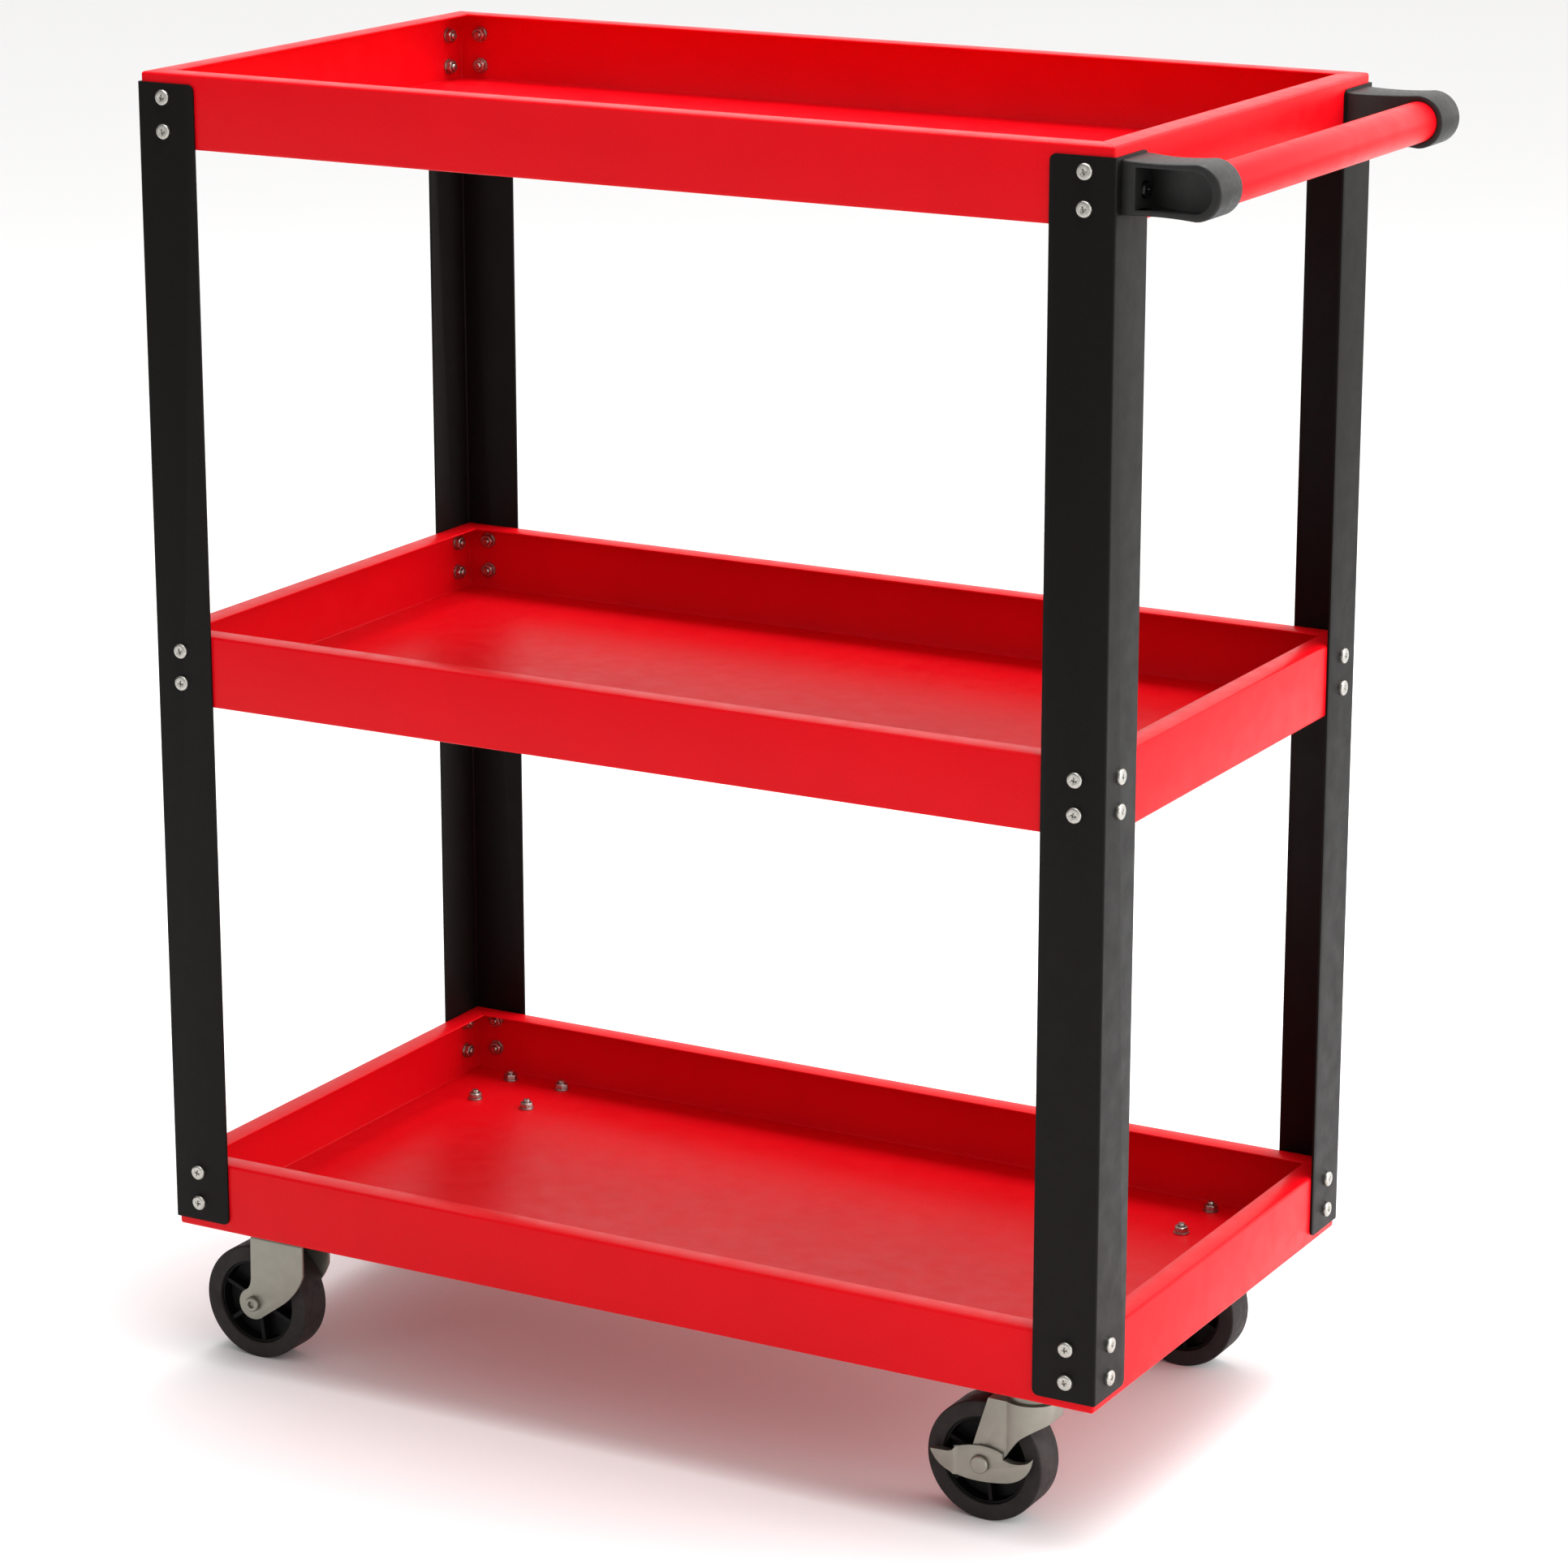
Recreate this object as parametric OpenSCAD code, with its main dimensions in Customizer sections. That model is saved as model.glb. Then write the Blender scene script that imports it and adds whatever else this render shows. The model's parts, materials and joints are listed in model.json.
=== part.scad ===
// Three-shelf tool cart on four casters. The origin is on the floor, under the middle of the
// cart's bounding box. +Z is up, +X points to the handle end, -Y is the front.

/* [Trays] */
// Length of each tray, end to end
tray_l = 640; // [600:5:700]
// Depth of each tray, front to back
tray_w = 350; // [330:5:400]
// Height of each tray's walls
tray_h = 44.6; // [44:0.2:60]
// Height step from one tray to the next
tray_step = 341.6; // [336:0.2:346]
// Thickness of the tray's sheet steel
sheet = 1.2; // [1:0.1:1.4]
// Width of the flange turned in round the tray's rim
rim_w = 15; // [12:1:20]
// Outer radius of the tray's upright corners
tray_corner = 2.2; // [2:0.1:3]

/* [Legs] */
// Width of each flange of the angle legs
leg_w = 40; // [36:1:45]
// Thickness of the angle legs
leg_t = 1.5; // [1.2:0.1:2]
// Outer bend radius of the angle legs
leg_bend = 2.5; // [2:0.1:3]
// Radius of the legs' free corners
leg_corner = 4; // [2:0.5:6]
// Gap from the lowest tray's underside up to a leg's foot
leg_foot = 5.5; // [3:0.5:8]
// Gap from a leg's top up to the highest rim
leg_gap = 5.8; // [4:0.2:8]

/* [Fasteners] */
// Distance of each screw from the tray's corner
screw_inset = 17; // [15:0.5:22]
// Height of the lowest screw over the lowest tray's underside
screw_first = 17.3; // [16:0.1:18]
// Spacing of the two screws of a pair
screw_pair = 20.2; // [18:0.1:21]
// Height step from one pair of screws to the next
screw_step = 338; // [336:0.5:340]
// Radius of the pan heads
head_r = 4.75; // [4.5:0.05:5]
// Height of the pan heads
head_h = 2.4; // [2:0.1:2.8]

/* [Handle] */
// How far the handle's brackets reach out from the tray's end
handle_reach = 60; // [55:1:70]
// Radius of the handle tube
tube_r = 12; // [11:0.5:12.5]
// Height of the tube's axis over the lowest tray's underside
handle_z = 705.3; // [700:0.5:706]

/* [Casters] */
// Height of a caster, from the floor to the tray's underside
caster_h = 93; // [92:0.5:94]
// Radius of the wheels
wheel_r = 37.5; // [36:0.5:38]
// Width of the wheels
wheel_w = 24; // [22:0.5:24]
// Distance of a caster's plate centre from the tray's end
plate_inset_x = 57; // [55:1:70]
// Distance of a caster's plate centre from the tray's side
plate_inset_y = 38.3; // [38:0.1:45]
// How far a swivel caster's axle trails behind its swivel axis
trail = 25.5; // [24:0.5:27]
// How far a fixed caster's axle stands outboard of its plate centre
fixed_offset = 19; // [18:0.5:20]

/* [Hidden] */
$fn = 48;

// Paint and metal colours
red = [0.80, 0.03, 0.06];
black = [0.10, 0.10, 0.09];
zinc = [0.55, 0.54, 0.50];
bright = [0.68, 0.67, 0.64];
plastic = [0.12, 0.12, 0.12];
rubber = [0.14, 0.12, 0.12];

// The tray's left end face, so that the bounding box is centred on X = 0
tray_x0 = -(tray_l + handle_reach - leg_t - head_h) / 2;
rim_z = 2 * tray_step + tray_h;
leg_l = rim_z - leg_gap - leg_foot;
cut = 1;

// M5 screws with their washers and nuts
screw_r = 2.45;
screw_hole_r = 2.65;
washer_r = 5;
washer_t = 1;
nut_flat = 8;
nut_t = 3.5;
stub = 1.5;
nut_bore_r = 2.47;

// M5 caster bolts, with the same heads, washers and nuts
bolt_span_x = 41;
bolt_span_y = 45;
bolt_stub = 2;

// Handle bracket
bracket_end_r = 15.6;
bracket_front = 5;
bracket_back = 33;
bracket_root_back = 37;
bracket_wall = 8;
tube_axis = handle_reach - bracket_end_r;
pocket_r = 11.5;
pocket_deep = 20;
pocket_shallow = 8.5;
socket_floor = 15.5;
tube_wall = 1.2;
handle_screw_z = screw_first + 2 * screw_step + screw_pair / 2;

// Casters, measured down from the tray's underside
plate_l = 58;
plate_w = 62;
plate_t = 2.5;
plate_corner = 4;
boss_r = 15.5;
boss_foot = -8.6;
boss_floor_t = 3;
boss_wall = 2;
fork_half = 15.5;
fork_t = 2;
web_t = 2.5;
fixed_web_z = boss_foot;
fixed_half_l = 19.75;
swivel_web_z = -10;
swivel_shoulder_z = -13.5;
race_r = 14;
skirt_r = 18;
skirt_front_z = -24;
axle_z = wheel_r - caster_h;
axle_r = 4;
axle_hole_r = 4.03;
lobe_fixed = 10.5;
lobe_swivel = 10;
king_r = 4;
king_head_r = 7.5;
king_head_t = 2.5;
king_gap = 0.3;
ball_ring_r = 11;
ball_r = 2;
groove_r = 2.1;
ball_z = -9.3;
balls = 12;
sleeve_r = 6;
sleeve_bore_r = 4.03;
running = 0.06;

// Wheels
tyre_bore_r = 27.5;
tyre_round = 1.2;
hub_rim_t = 1.5;
hub_web_t = 4;
hub_boss_r = 9.5;
hub_boss_half = 13.2;
hub_depth = 10;
spokes = 6;
spoke_t = 2.6;
spoke_start = 37;

// Brake lever, in the plane of the wheel, about the axle
lever_t = 1.6;
lever_gap = 0.3;
lever_step = 0.8;
lever_jog_x = -15;
tab_t = 1.4;
tab_reach = 0.4;

// Points of a quadratic curve from a to c that leans towards b, without its last point
function bend(a, b, c, n = 6) = [for (i = [0:n - 1]) let (t = i / n)
    (1 - t) * (1 - t) * a + 2 * t * (1 - t) * b + t * t * c];

// Points of an arc about p from angle a to angle b
function arc(p, r, a, b, n = 14) = [for (i = [0:n]) let (t = a + (b - a) * i / n)
    p + r * [cos(t), sin(t)]];

// Places its children at a tray corner on the lowest tray's underside, with X and Y running
// inward. sx is -1 for the left end, sy is -1 for the front.
module at_corner(sx, sy) {
    translate([sx < 0 ? tray_x0 : tray_x0 + tray_l, sy * tray_w / 2, caster_h])
        mirror([sx < 0 ? 0 : 1, 0, 0])
            mirror([0, sy < 0 ? 0 : 1, 0])
                children();
}

module at_four_corners() {
    for (sx = [-1, 1], sy = [-1, 1]) {
        at_corner(sx, sy) children();
    }
}

module rounded_rect(l, w, r) {
    translate([r, 0]) square([l - 2 * r, w]);
    translate([0, r]) square([l, w - 2 * r]);
    for (x = [r, l - r], y = [r, w - r]) {
        translate([x, y]) circle(r);
    }
}

// ---- Trays ----

module wall_holes(level, handle_end) {
    for (z = handle_end ? [screw_first + screw_pair / 2] : [screw_first, screw_first + screw_pair]) {
        translate([-cut, screw_inset, z + level * (screw_step - tray_step)])
            rotate([0, 90, 0]) cylinder(r = screw_hole_r, h = sheet + 2 * cut);
    }
    for (z = [screw_first, screw_first + screw_pair]) {
        translate([screw_inset, -cut, z + level * (screw_step - tray_step)])
            rotate([-90, 0, 0]) cylinder(r = screw_hole_r, h = sheet + 2 * cut);
    }
}

module floor_holes() {
    for (x = [-1, 1], y = [-1, 1]) {
        translate([plate_inset_x + x * bolt_span_x / 2, plate_inset_y + y * bolt_span_y / 2, -cut])
            cylinder(r = screw_hole_r, h = sheet + 2 * cut);
    }
}

module tray(level) {
    color(red)
        difference() {
            translate([tray_x0, -tray_w / 2, caster_h + level * tray_step])
                difference() {
                    linear_extrude(tray_h) rounded_rect(tray_l, tray_w, tray_corner);
                    translate([sheet, sheet, sheet])
                        linear_extrude(tray_h - 2 * sheet)
                            rounded_rect(tray_l - 2 * sheet, tray_w - 2 * sheet, tray_corner - sheet);
                    translate([rim_w, rim_w, tray_h - sheet - cut / 2])
                        cube([tray_l - 2 * rim_w, tray_w - 2 * rim_w, sheet + cut]);
                }
            for (sx = [-1, 1], sy = [-1, 1]) {
                at_corner(sx, sy) {
                    translate([0, 0, level * tray_step]) wall_holes(level, level == 2 && sx > 0);
                    if (level == 0) {
                        floor_holes();
                    }
                }
            }
        }
}

module top_tray() { tray(2); }
module middle_tray() { tray(1); }
module bottom_tray() { tray(0); }

// ---- Legs ----

module leg_section() {
    translate([leg_bend - leg_t, -leg_t]) square([leg_w - leg_bend, leg_t]);
    translate([-leg_t, leg_bend - leg_t]) square([leg_t, leg_w - leg_bend]);
    translate([leg_bend - leg_t, leg_bend - leg_t])
        intersection() {
            difference() {
                circle(leg_bend);
                circle(leg_bend - leg_t);
            }
            translate([-leg_bend, -leg_bend]) square(leg_bend);
        }
}

// What is cut from a flange's outer edge to round its two free corners
module corner_trim() {
    for (end = [0, 1]) {
        translate([0, end * leg_l]) mirror([0, end])
            difference() {
                translate([leg_w - leg_t - leg_corner, -cut]) square(leg_corner + cut);
                translate([leg_w - leg_t - leg_corner, leg_corner]) circle(leg_corner);
            }
    }
}

module leg(sx, sy) {
    color(black)
        at_corner(sx, sy)
            difference() {
                translate([0, 0, leg_foot]) linear_extrude(leg_l) leg_section();
                translate([0, 0, leg_foot]) {
                    translate([0, cut, 0]) rotate([90, 0, 0])
                        linear_extrude(leg_t + 2 * cut) corner_trim();
                    translate([cut, 0, 0]) mirror([1, 0, 0]) rotate([90, 0, 90])
                        linear_extrude(leg_t + 2 * cut) corner_trim();
                }
                for (level = [0:2], pair = [0, 1]) {
                    translate([screw_inset, -leg_t - cut, screw_first + level * screw_step
                               + pair * screw_pair])
                        rotate([-90, 0, 0]) cylinder(r = screw_hole_r, h = leg_t + 2 * cut);
                    if (!(level == 2 && sx > 0)) {
                        translate([-leg_t - cut, screw_inset, screw_first + level * screw_step
                                   + pair * screw_pair])
                            rotate([0, 90, 0]) cylinder(r = screw_hole_r, h = leg_t + 2 * cut);
                    }
                }
                if (sx > 0) {
                    translate([-leg_t - cut, screw_inset, handle_screw_z])
                        rotate([0, 90, 0]) cylinder(r = screw_hole_r, h = leg_t + 2 * cut);
                }
            }
}

module front_left_leg() { leg(-1, -1); }
module rear_left_leg() { leg(-1, 1); }
module front_right_leg() { leg(1, -1); }
module rear_right_leg() { leg(1, 1); }

// ---- Screws, washers and nuts ----

// A pan-head screw along +Z, with the head's underside at Z = 0
module pan_screw(length) {
    dome_r = 8.3;
    slot_l = 4.6;
    slot_w = 1.1;
    slot_d = 1.2;
    difference() {
        union() {
            intersection() {
                translate([0, 0, -head_h]) cylinder(r = head_r, h = head_h);
                translate([0, 0, dome_r - head_h]) sphere(dome_r);
            }
            translate([0, 0, -cut / 2]) cylinder(r = screw_r, h = length + cut / 2);
        }
        for (turn = [0, 90]) {
            rotate([0, 0, turn])
                translate([-slot_l / 2, -slot_w / 2, -head_h - cut])
                    cube([slot_l, slot_w, slot_d + cut]);
        }
    }
}

module washer() {
    difference() {
        cylinder(r = washer_r, h = washer_t);
        translate([0, 0, -cut]) cylinder(r = screw_hole_r, h = washer_t + 2 * cut);
    }
}

module hex_nut(flat, thick, bore) {
    difference() {
        cylinder(d = flat / cos(30), h = thick, $fn = 6);
        translate([0, 0, -cut]) cylinder(r = bore, h = thick + 2 * cut);
    }
}

// Places its children at every tray screw, along +Z into the tray, with Z = 0 on the leg's face
module at_tray_screws() {
    for (sx = [-1, 1], sy = [-1, 1], level = [0:2], pair = [0, 1]) {
        at_corner(sx, sy)
            translate([0, 0, screw_first + level * screw_step + pair * screw_pair]) {
                translate([screw_inset, -leg_t, 0]) rotate([-90, 0, 0]) children();
                if (!(level == 2 && sx > 0)) {
                    translate([-leg_t, screw_inset, 0]) rotate([0, 90, 0]) children();
                }
            }
    }
}

module at_handle_screws() {
    for (sy = [-1, 1]) {
        at_corner(1, sy)
            translate([-leg_t, screw_inset, handle_screw_z]) rotate([0, 90, 0]) children();
    }
}

inner_face = leg_t + sheet;

module tray_screws() {
    color(bright)
        at_tray_screws() pan_screw(inner_face + washer_t + nut_t + stub);
}

module tray_washers() {
    color(bright)
        at_tray_screws() translate([0, 0, inner_face]) washer();
}

module tray_nuts() {
    color(bright)
        at_tray_screws() translate([0, 0, inner_face + washer_t]) hex_nut(nut_flat, nut_t, nut_bore_r);
}

// ---- Handle ----

module handle_tube() {
    inner_end = socket_floor + 0.5;
    color(red)
        translate([tray_x0 + tray_l + tube_axis, -tray_w / 2 + inner_end, caster_h + handle_z])
            rotate([-90, 0, 0])
                difference() {
                    cylinder(r = tube_r, h = tray_w - 2 * inner_end);
                    translate([0, 0, -cut])
                        cylinder(r = tube_r - tube_wall, h = tray_w - 2 * inner_end + 2 * cut);
                }
}

// Side view of a bracket, X out from the tray's end and Y up from the tube's axis
module bracket_side() {
    root = [leg_t, 15.2];
    waist = [22, 13.6];
    end = [tube_axis, bracket_end_r];
    polygon(concat(
        bend(root, waist, end, 8),
        [end],
        [[end[0], -end[1]]],
        bend([end[0], -end[1]], [waist[0], -waist[1]], [root[0], -root[1]], 8),
        [[root[0], -root[1]]]
    ));
    translate([tube_axis, 0]) circle(bracket_end_r);
}

// Side view of the pocket in a bracket's outer face
module pocket_side(x0) {
    translate([x0, -pocket_r]) square([tube_axis - 1.4 - x0, 2 * pocket_r]);
    translate([tube_axis - 1.4, 0]) circle(pocket_r);
}

module bracket_plan() {
    polygon([
        [leg_t, bracket_front], [handle_reach + cut, bracket_front],
        [handle_reach + cut, bracket_back], [leg_t + 20, bracket_back],
        [leg_t + 6, bracket_root_back], [leg_t, bracket_root_back]
    ]);
}

module bracket(sy) {
    pocket_x = leg_t + bracket_wall;
    color(plastic)
        at_corner(1, sy) mirror([1, 0, 0])
            translate([0, 0, handle_z])
                difference() {
                    intersection() {
                        translate([0, bracket_root_back + cut, 0]) rotate([90, 0, 0])
                            linear_extrude(bracket_root_back + 2 * cut) bracket_side();
                        translate([0, 0, -20]) linear_extrude(40) bracket_plan();
                    }
                    translate([0, bracket_front + pocket_shallow, 0]) rotate([90, 0, 0])
                        linear_extrude(pocket_shallow + cut) pocket_side(pocket_x);
                    translate([pocket_x, bracket_front - cut, -pocket_r])
                        cube([18, pocket_deep + cut, 2 * pocket_r]);
                    translate([tube_axis, socket_floor, 0]) rotate([-90, 0, 0])
                        cylinder(r = tube_r + 0.02, h = 30);
                    translate([leg_t - cut, screw_inset, handle_screw_z - handle_z])
                        rotate([0, 90, 0]) cylinder(r = screw_hole_r, h = bracket_wall + 2 * cut);
                }
}

module front_handle_bracket() { bracket(-1); }
module rear_handle_bracket() { bracket(1); }

module handle_screws() {
    color(black)
        at_handle_screws() translate([0, 0, -bracket_wall])
            pan_screw(bracket_wall + inner_face + washer_t + nut_t + stub);
}

module handle_washers() {
    color(bright)
        at_handle_screws() translate([0, 0, inner_face]) washer();
}

module handle_nuts() {
    color(bright)
        at_handle_screws() translate([0, 0, inner_face + washer_t]) hex_nut(nut_flat, nut_t, nut_bore_r);
}

// ---- Caster bolts ----

module at_caster_bolts() {
    at_four_corners()
        for (x = [-1, 1], y = [-1, 1]) {
            translate([plate_inset_x + x * bolt_span_x / 2, plate_inset_y + y * bolt_span_y / 2, 0])
                children();
        }
}

module caster_bolts() {
    color(bright)
        at_caster_bolts() {
            translate([0, 0, -plate_t])
                pan_screw(plate_t + sheet + washer_t + nut_t + bolt_stub);
        }
}

module caster_washers() {
    color(bright)
        at_caster_bolts() translate([0, 0, sheet]) washer();
}

module caster_nuts() {
    color(bright)
        at_caster_bolts() translate([0, 0, sheet + washer_t]) hex_nut(nut_flat, nut_t, nut_bore_r);
}

// ---- Parts that both kinds of caster share ----

// Places its children at a caster's plate centre on the tray's underside, with X outboard
module at_plate(sx, sy) {
    at_corner(sx, sy) translate([plate_inset_x, plate_inset_y, 0]) mirror([1, 0, 0]) children();
}

// The mounting plate with its pressed boss. A swivel caster's boss has a ball groove.
module plate(sx, sy, groove) {
    color(zinc)
        at_plate(sx, sy)
            difference() {
                union() {
                    translate([-plate_l / 2, -plate_w / 2, -plate_t])
                        linear_extrude(plate_t) rounded_rect(plate_l, plate_w, plate_corner);
                    translate([0, 0, boss_foot]) cylinder(r = boss_r, h = -boss_foot - cut);
                }
                translate([0, 0, boss_foot + boss_floor_t])
                    cylinder(r = boss_r - boss_wall, h = -boss_foot);
                translate([0, 0, boss_foot - cut])
                    cylinder(r = king_r + 0.01, h = boss_floor_t + 2 * cut);
                for (x = [-1, 1], y = [-1, 1]) {
                    translate([x * bolt_span_x / 2, y * bolt_span_y / 2, -plate_t - cut])
                        cylinder(r = screw_hole_r, h = plate_t + 2 * cut);
                }
                if (groove) {
                    translate([0, 0, ball_z])
                        rotate_extrude() translate([ball_ring_r, 0]) circle(groove_r);
                }
            }
}

// The pin that holds the fork to the plate: two heads and a shank
module pin(sx, sy, web_foot) {
    upper_head_r = 7;
    upper_head_t = 2.2;
    color(bright)
        at_plate(sx, sy) {
            translate([0, 0, boss_foot + boss_floor_t]) cylinder(r = upper_head_r, h = upper_head_t);
            translate([0, 0, web_foot - cut])
                cylinder(r = king_r, h = boss_foot + boss_floor_t + 2 * cut - web_foot);
            translate([0, 0, web_foot - king_head_t]) cylinder(r = king_head_r, h = king_head_t);
        }
}

module sleeve(sx, sy, x) {
    color(bright)
        at_plate(sx, sy) translate([x, fork_half - fork_t, axle_z]) rotate([90, 0, 0])
            difference() {
                cylinder(r = sleeve_r, h = 2 * (fork_half - fork_t));
                translate([0, 0, -cut])
                    cylinder(r = sleeve_bore_r, h = 2 * (fork_half - fork_t) + 2 * cut);
            }
}

module hub(sx, sy, x) {
    color(plastic)
        at_plate(sx, sy) translate([x, 0, axle_z]) rotate([90, 0, 0])
            difference() {
                union() {
                    difference() {
                        translate([0, 0, -hub_depth]) cylinder(r = tyre_bore_r - 0.02, h = 2 * hub_depth);
                        for (side = [0, 1]) {
                            mirror([0, 0, side]) translate([0, 0, hub_web_t / 2])
                                cylinder(r = tyre_bore_r - hub_rim_t, h = hub_depth + cut);
                        }
                    }
                    translate([0, 0, -hub_boss_half]) cylinder(r = hub_boss_r, h = 2 * hub_boss_half);
                    for (i = [0:spokes - 1]) {
                        rotate([0, 0, spoke_start + i * 360 / spokes])
                            translate([hub_boss_r - cut, -spoke_t / 2, -hub_depth + cut])
                                cube([tyre_bore_r - hub_rim_t - hub_boss_r + 1.5 * cut, spoke_t,
                                      2 * (hub_depth - cut)]);
                    }
                }
                translate([0, 0, -hub_boss_half - cut])
                    cylinder(r = sleeve_r + running, h = 2 * (hub_boss_half + cut));
            }
}

module tyre(sx, sy, x) {
    half = wheel_w / 2;
    color(rubber)
        at_plate(sx, sy) translate([x, 0, axle_z]) rotate([90, 0, 0])
            rotate_extrude($fn = 96) {
                translate([tyre_bore_r, -half])
                    square([wheel_r - tyre_round - tyre_bore_r, wheel_w]);
                translate([tyre_bore_r, tyre_round - half])
                    square([wheel_r - tyre_bore_r, wheel_w - 2 * tyre_round]);
                for (y = [tyre_round - half, half - tyre_round]) {
                    translate([wheel_r - tyre_round, y]) circle(tyre_round);
                }
            }
}

// ---- Fixed casters, at the end away from the handle ----

// Side view of the fixed fork about its axle, X inboard and Y up to the web's top
module fixed_fork_side() {
    top = fixed_web_z - axle_z;
    left = fixed_offset - fixed_half_l;
    right = fixed_offset + fixed_half_l;
    polygon(concat(
        [[left, top]],
        bend([left - 0.6, 16], [left - 1.4, 9.5], [-6.5, 8.25], 5),
        arc([0, 0], lobe_fixed, 128, 305.6),
        bend([20.5, 1.8], [32.5, 10.2], [right - 1.2, 22], 7),
        [[right - 1.2, 22], [right, 25], [right, top]]
    ));
}

module fixed_fork(sy) {
    span = 2 * fork_half;
    color(zinc)
        at_plate(-1, sy)
            difference() {
                translate([fixed_offset, fork_half, axle_z]) mirror([1, 0, 0]) rotate([90, 0, 0])
                    linear_extrude(span) fixed_fork_side();
                translate([-fixed_half_l - 20, fork_t - fork_half, axle_z - 20])
                    cube([2 * fixed_half_l + 40, span - 2 * fork_t, 20 + fixed_web_z - web_t - axle_z]);
                translate([0, 0, fixed_web_z - web_t - cut])
                    cylinder(r = king_r + 0.01, h = web_t + 2 * cut);
                translate([fixed_offset, fork_half + cut, axle_z]) rotate([90, 0, 0])
                    cylinder(r = axle_hole_r, h = span + 2 * cut);
            }
}

// A rivet with a round head and a blind hole at each end
module hollow_axle(sy) {
    rolled_head_r = 4.8;
    rolled_head_t = 2.6;
    hollow_r = 2.35;
    hollow_deep = 2.2;
    half = fork_half + rolled_head_t;
    color(bright)
        at_plate(-1, sy) translate([fixed_offset, 0, axle_z]) rotate([90, 0, 0])
            difference() {
                union() {
                    translate([0, 0, -fork_half]) cylinder(r = axle_r, h = 2 * fork_half);
                    for (side = [0, 1]) {
                        mirror([0, 0, side]) translate([0, 0, fork_half])
                            cylinder(r = rolled_head_r, h = rolled_head_t);
                    }
                }
                for (side = [0, 1]) {
                    mirror([0, 0, side]) translate([0, 0, half - hollow_deep])
                        cylinder(r = hollow_r, h = hollow_deep + cut);
                }
            }
}

module front_left_plate() { plate(-1, -1, false); }
module front_left_fork() { fixed_fork(-1); }
module front_left_rivet() { pin(-1, -1, fixed_web_z - web_t); }
module front_left_axle() { hollow_axle(-1); }
module front_left_sleeve() { sleeve(-1, -1, fixed_offset); }
module front_left_hub() { hub(-1, -1, fixed_offset); }
module front_left_tyre() { tyre(-1, -1, fixed_offset); }
module rear_left_plate() { plate(-1, 1, false); }
module rear_left_fork() { fixed_fork(1); }
module rear_left_rivet() { pin(-1, 1, fixed_web_z - web_t); }
module rear_left_axle() { hollow_axle(1); }
module rear_left_sleeve() { sleeve(-1, 1, fixed_offset); }
module rear_left_hub() { hub(-1, 1, fixed_offset); }
module rear_left_tyre() { tyre(-1, 1, fixed_offset); }

// ---- Swivel casters with brake levers, at the handle end ----

// Side view of the swivel fork about its swivel axis, X outboard and Y up
module swivel_fork_side() {
    lean = 0.311;
    axle = [-trail, axle_z];
    left_top = [-21.5, swivel_shoulder_z];
    left_foot = [left_top[0] + lean * (axle_z + 1.5 - swivel_shoulder_z), axle_z + 1.5];
    crease = [-9.6, -48];
    mid = [-0.5, -35.6];
    polygon(concat(
        [left_top, left_foot],
        arc(axle, lobe_swivel, 172, 360),
        bend(crease, [-4.6, -40.6], mid, 4),
        bend(mid, [6, -30], [14.5, skirt_front_z - 2], 5),
        bend([14.5, skirt_front_z - 2], [skirt_r - 0.2, skirt_front_z - 0.5], [skirt_r + 0.5, -19], 4),
        [[skirt_r + 0.5, -19], [skirt_r + 0.5, swivel_shoulder_z]]
    ));
}

// Plan of the swivel fork: the round bearing house and the two cheeks behind it. The ball race
// stands up from it like a low hat.
module swivel_fork_plan(inset, back) {
    circle(skirt_r - inset, $fn = 72);
    translate([-back, inset - fork_half]) square([back, 2 * (fork_half - inset)]);
}

module swivel_fork(sy) {
    depth = 60;
    color(zinc)
        at_plate(1, sy)
            difference() {
                union() {
                    intersection() {
                        translate([0, fork_half + 5, 0]) rotate([90, 0, 0])
                            linear_extrude(2 * fork_half + 10) swivel_fork_side();
                        difference() {
                            translate([0, 0, swivel_shoulder_z - depth])
                                linear_extrude(depth) swivel_fork_plan(0, 50);
                            translate([0, 0, swivel_shoulder_z - web_t - depth])
                                linear_extrude(depth) swivel_fork_plan(fork_t, 51);
                        }
                    }
                    translate([0, 0, swivel_shoulder_z - cut])
                        cylinder(r = race_r, h = swivel_web_z + cut - swivel_shoulder_z);
                }
                translate([0, 0, swivel_shoulder_z - web_t - cut])
                    cylinder(r = race_r - web_t, h = swivel_web_z + cut - swivel_shoulder_z);
                translate([0, 0, swivel_web_z - web_t - cut])
                    cylinder(r = king_r + running, h = web_t + 2 * cut);
                translate([0, 0, ball_z])
                    rotate_extrude() translate([ball_ring_r, 0]) circle(groove_r);
                translate([-trail, fork_half + cut, axle_z]) rotate([90, 0, 0])
                    cylinder(r = axle_hole_r, h = 2 * (fork_half + cut));
            }
}

module ball_ring(sy) {
    color(bright)
        at_plate(1, sy) translate([0, 0, ball_z])
            for (i = [0:balls - 1]) {
                rotate([0, 0, i * 360 / balls]) translate([ball_ring_r, 0, 0]) sphere(ball_r, $fn = 24);
            }
}

// A solid rivet, with the longer side towards the brake lever at the front
module brake_axle(sy) {
    rivet_head_r = 5.7;
    rivet_head_t = 2.2;
    front = fork_half + 2 * lever_gap + lever_t;
    color(bright)
        at_plate(1, sy) translate([-trail, 0, axle_z]) rotate([90, 0, 0]) {
            translate([0, 0, -fork_half - cut]) cylinder(r = axle_r, h = fork_half + front + 2 * cut);
            translate([0, 0, front]) cylinder(r = rivet_head_r, h = rivet_head_t);
            translate([0, 0, -fork_half - rivet_head_t]) cylinder(r = rivet_head_r, h = rivet_head_t);
        }
}

// Upper edge of the lever's inboard tab, about the axle
lever_notch = [14.8, 5.4];
lever_dip = [21, 3.2];
lever_rise = [27.4, 5.1];
lever_tip = [34.1, 9.5];

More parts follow.
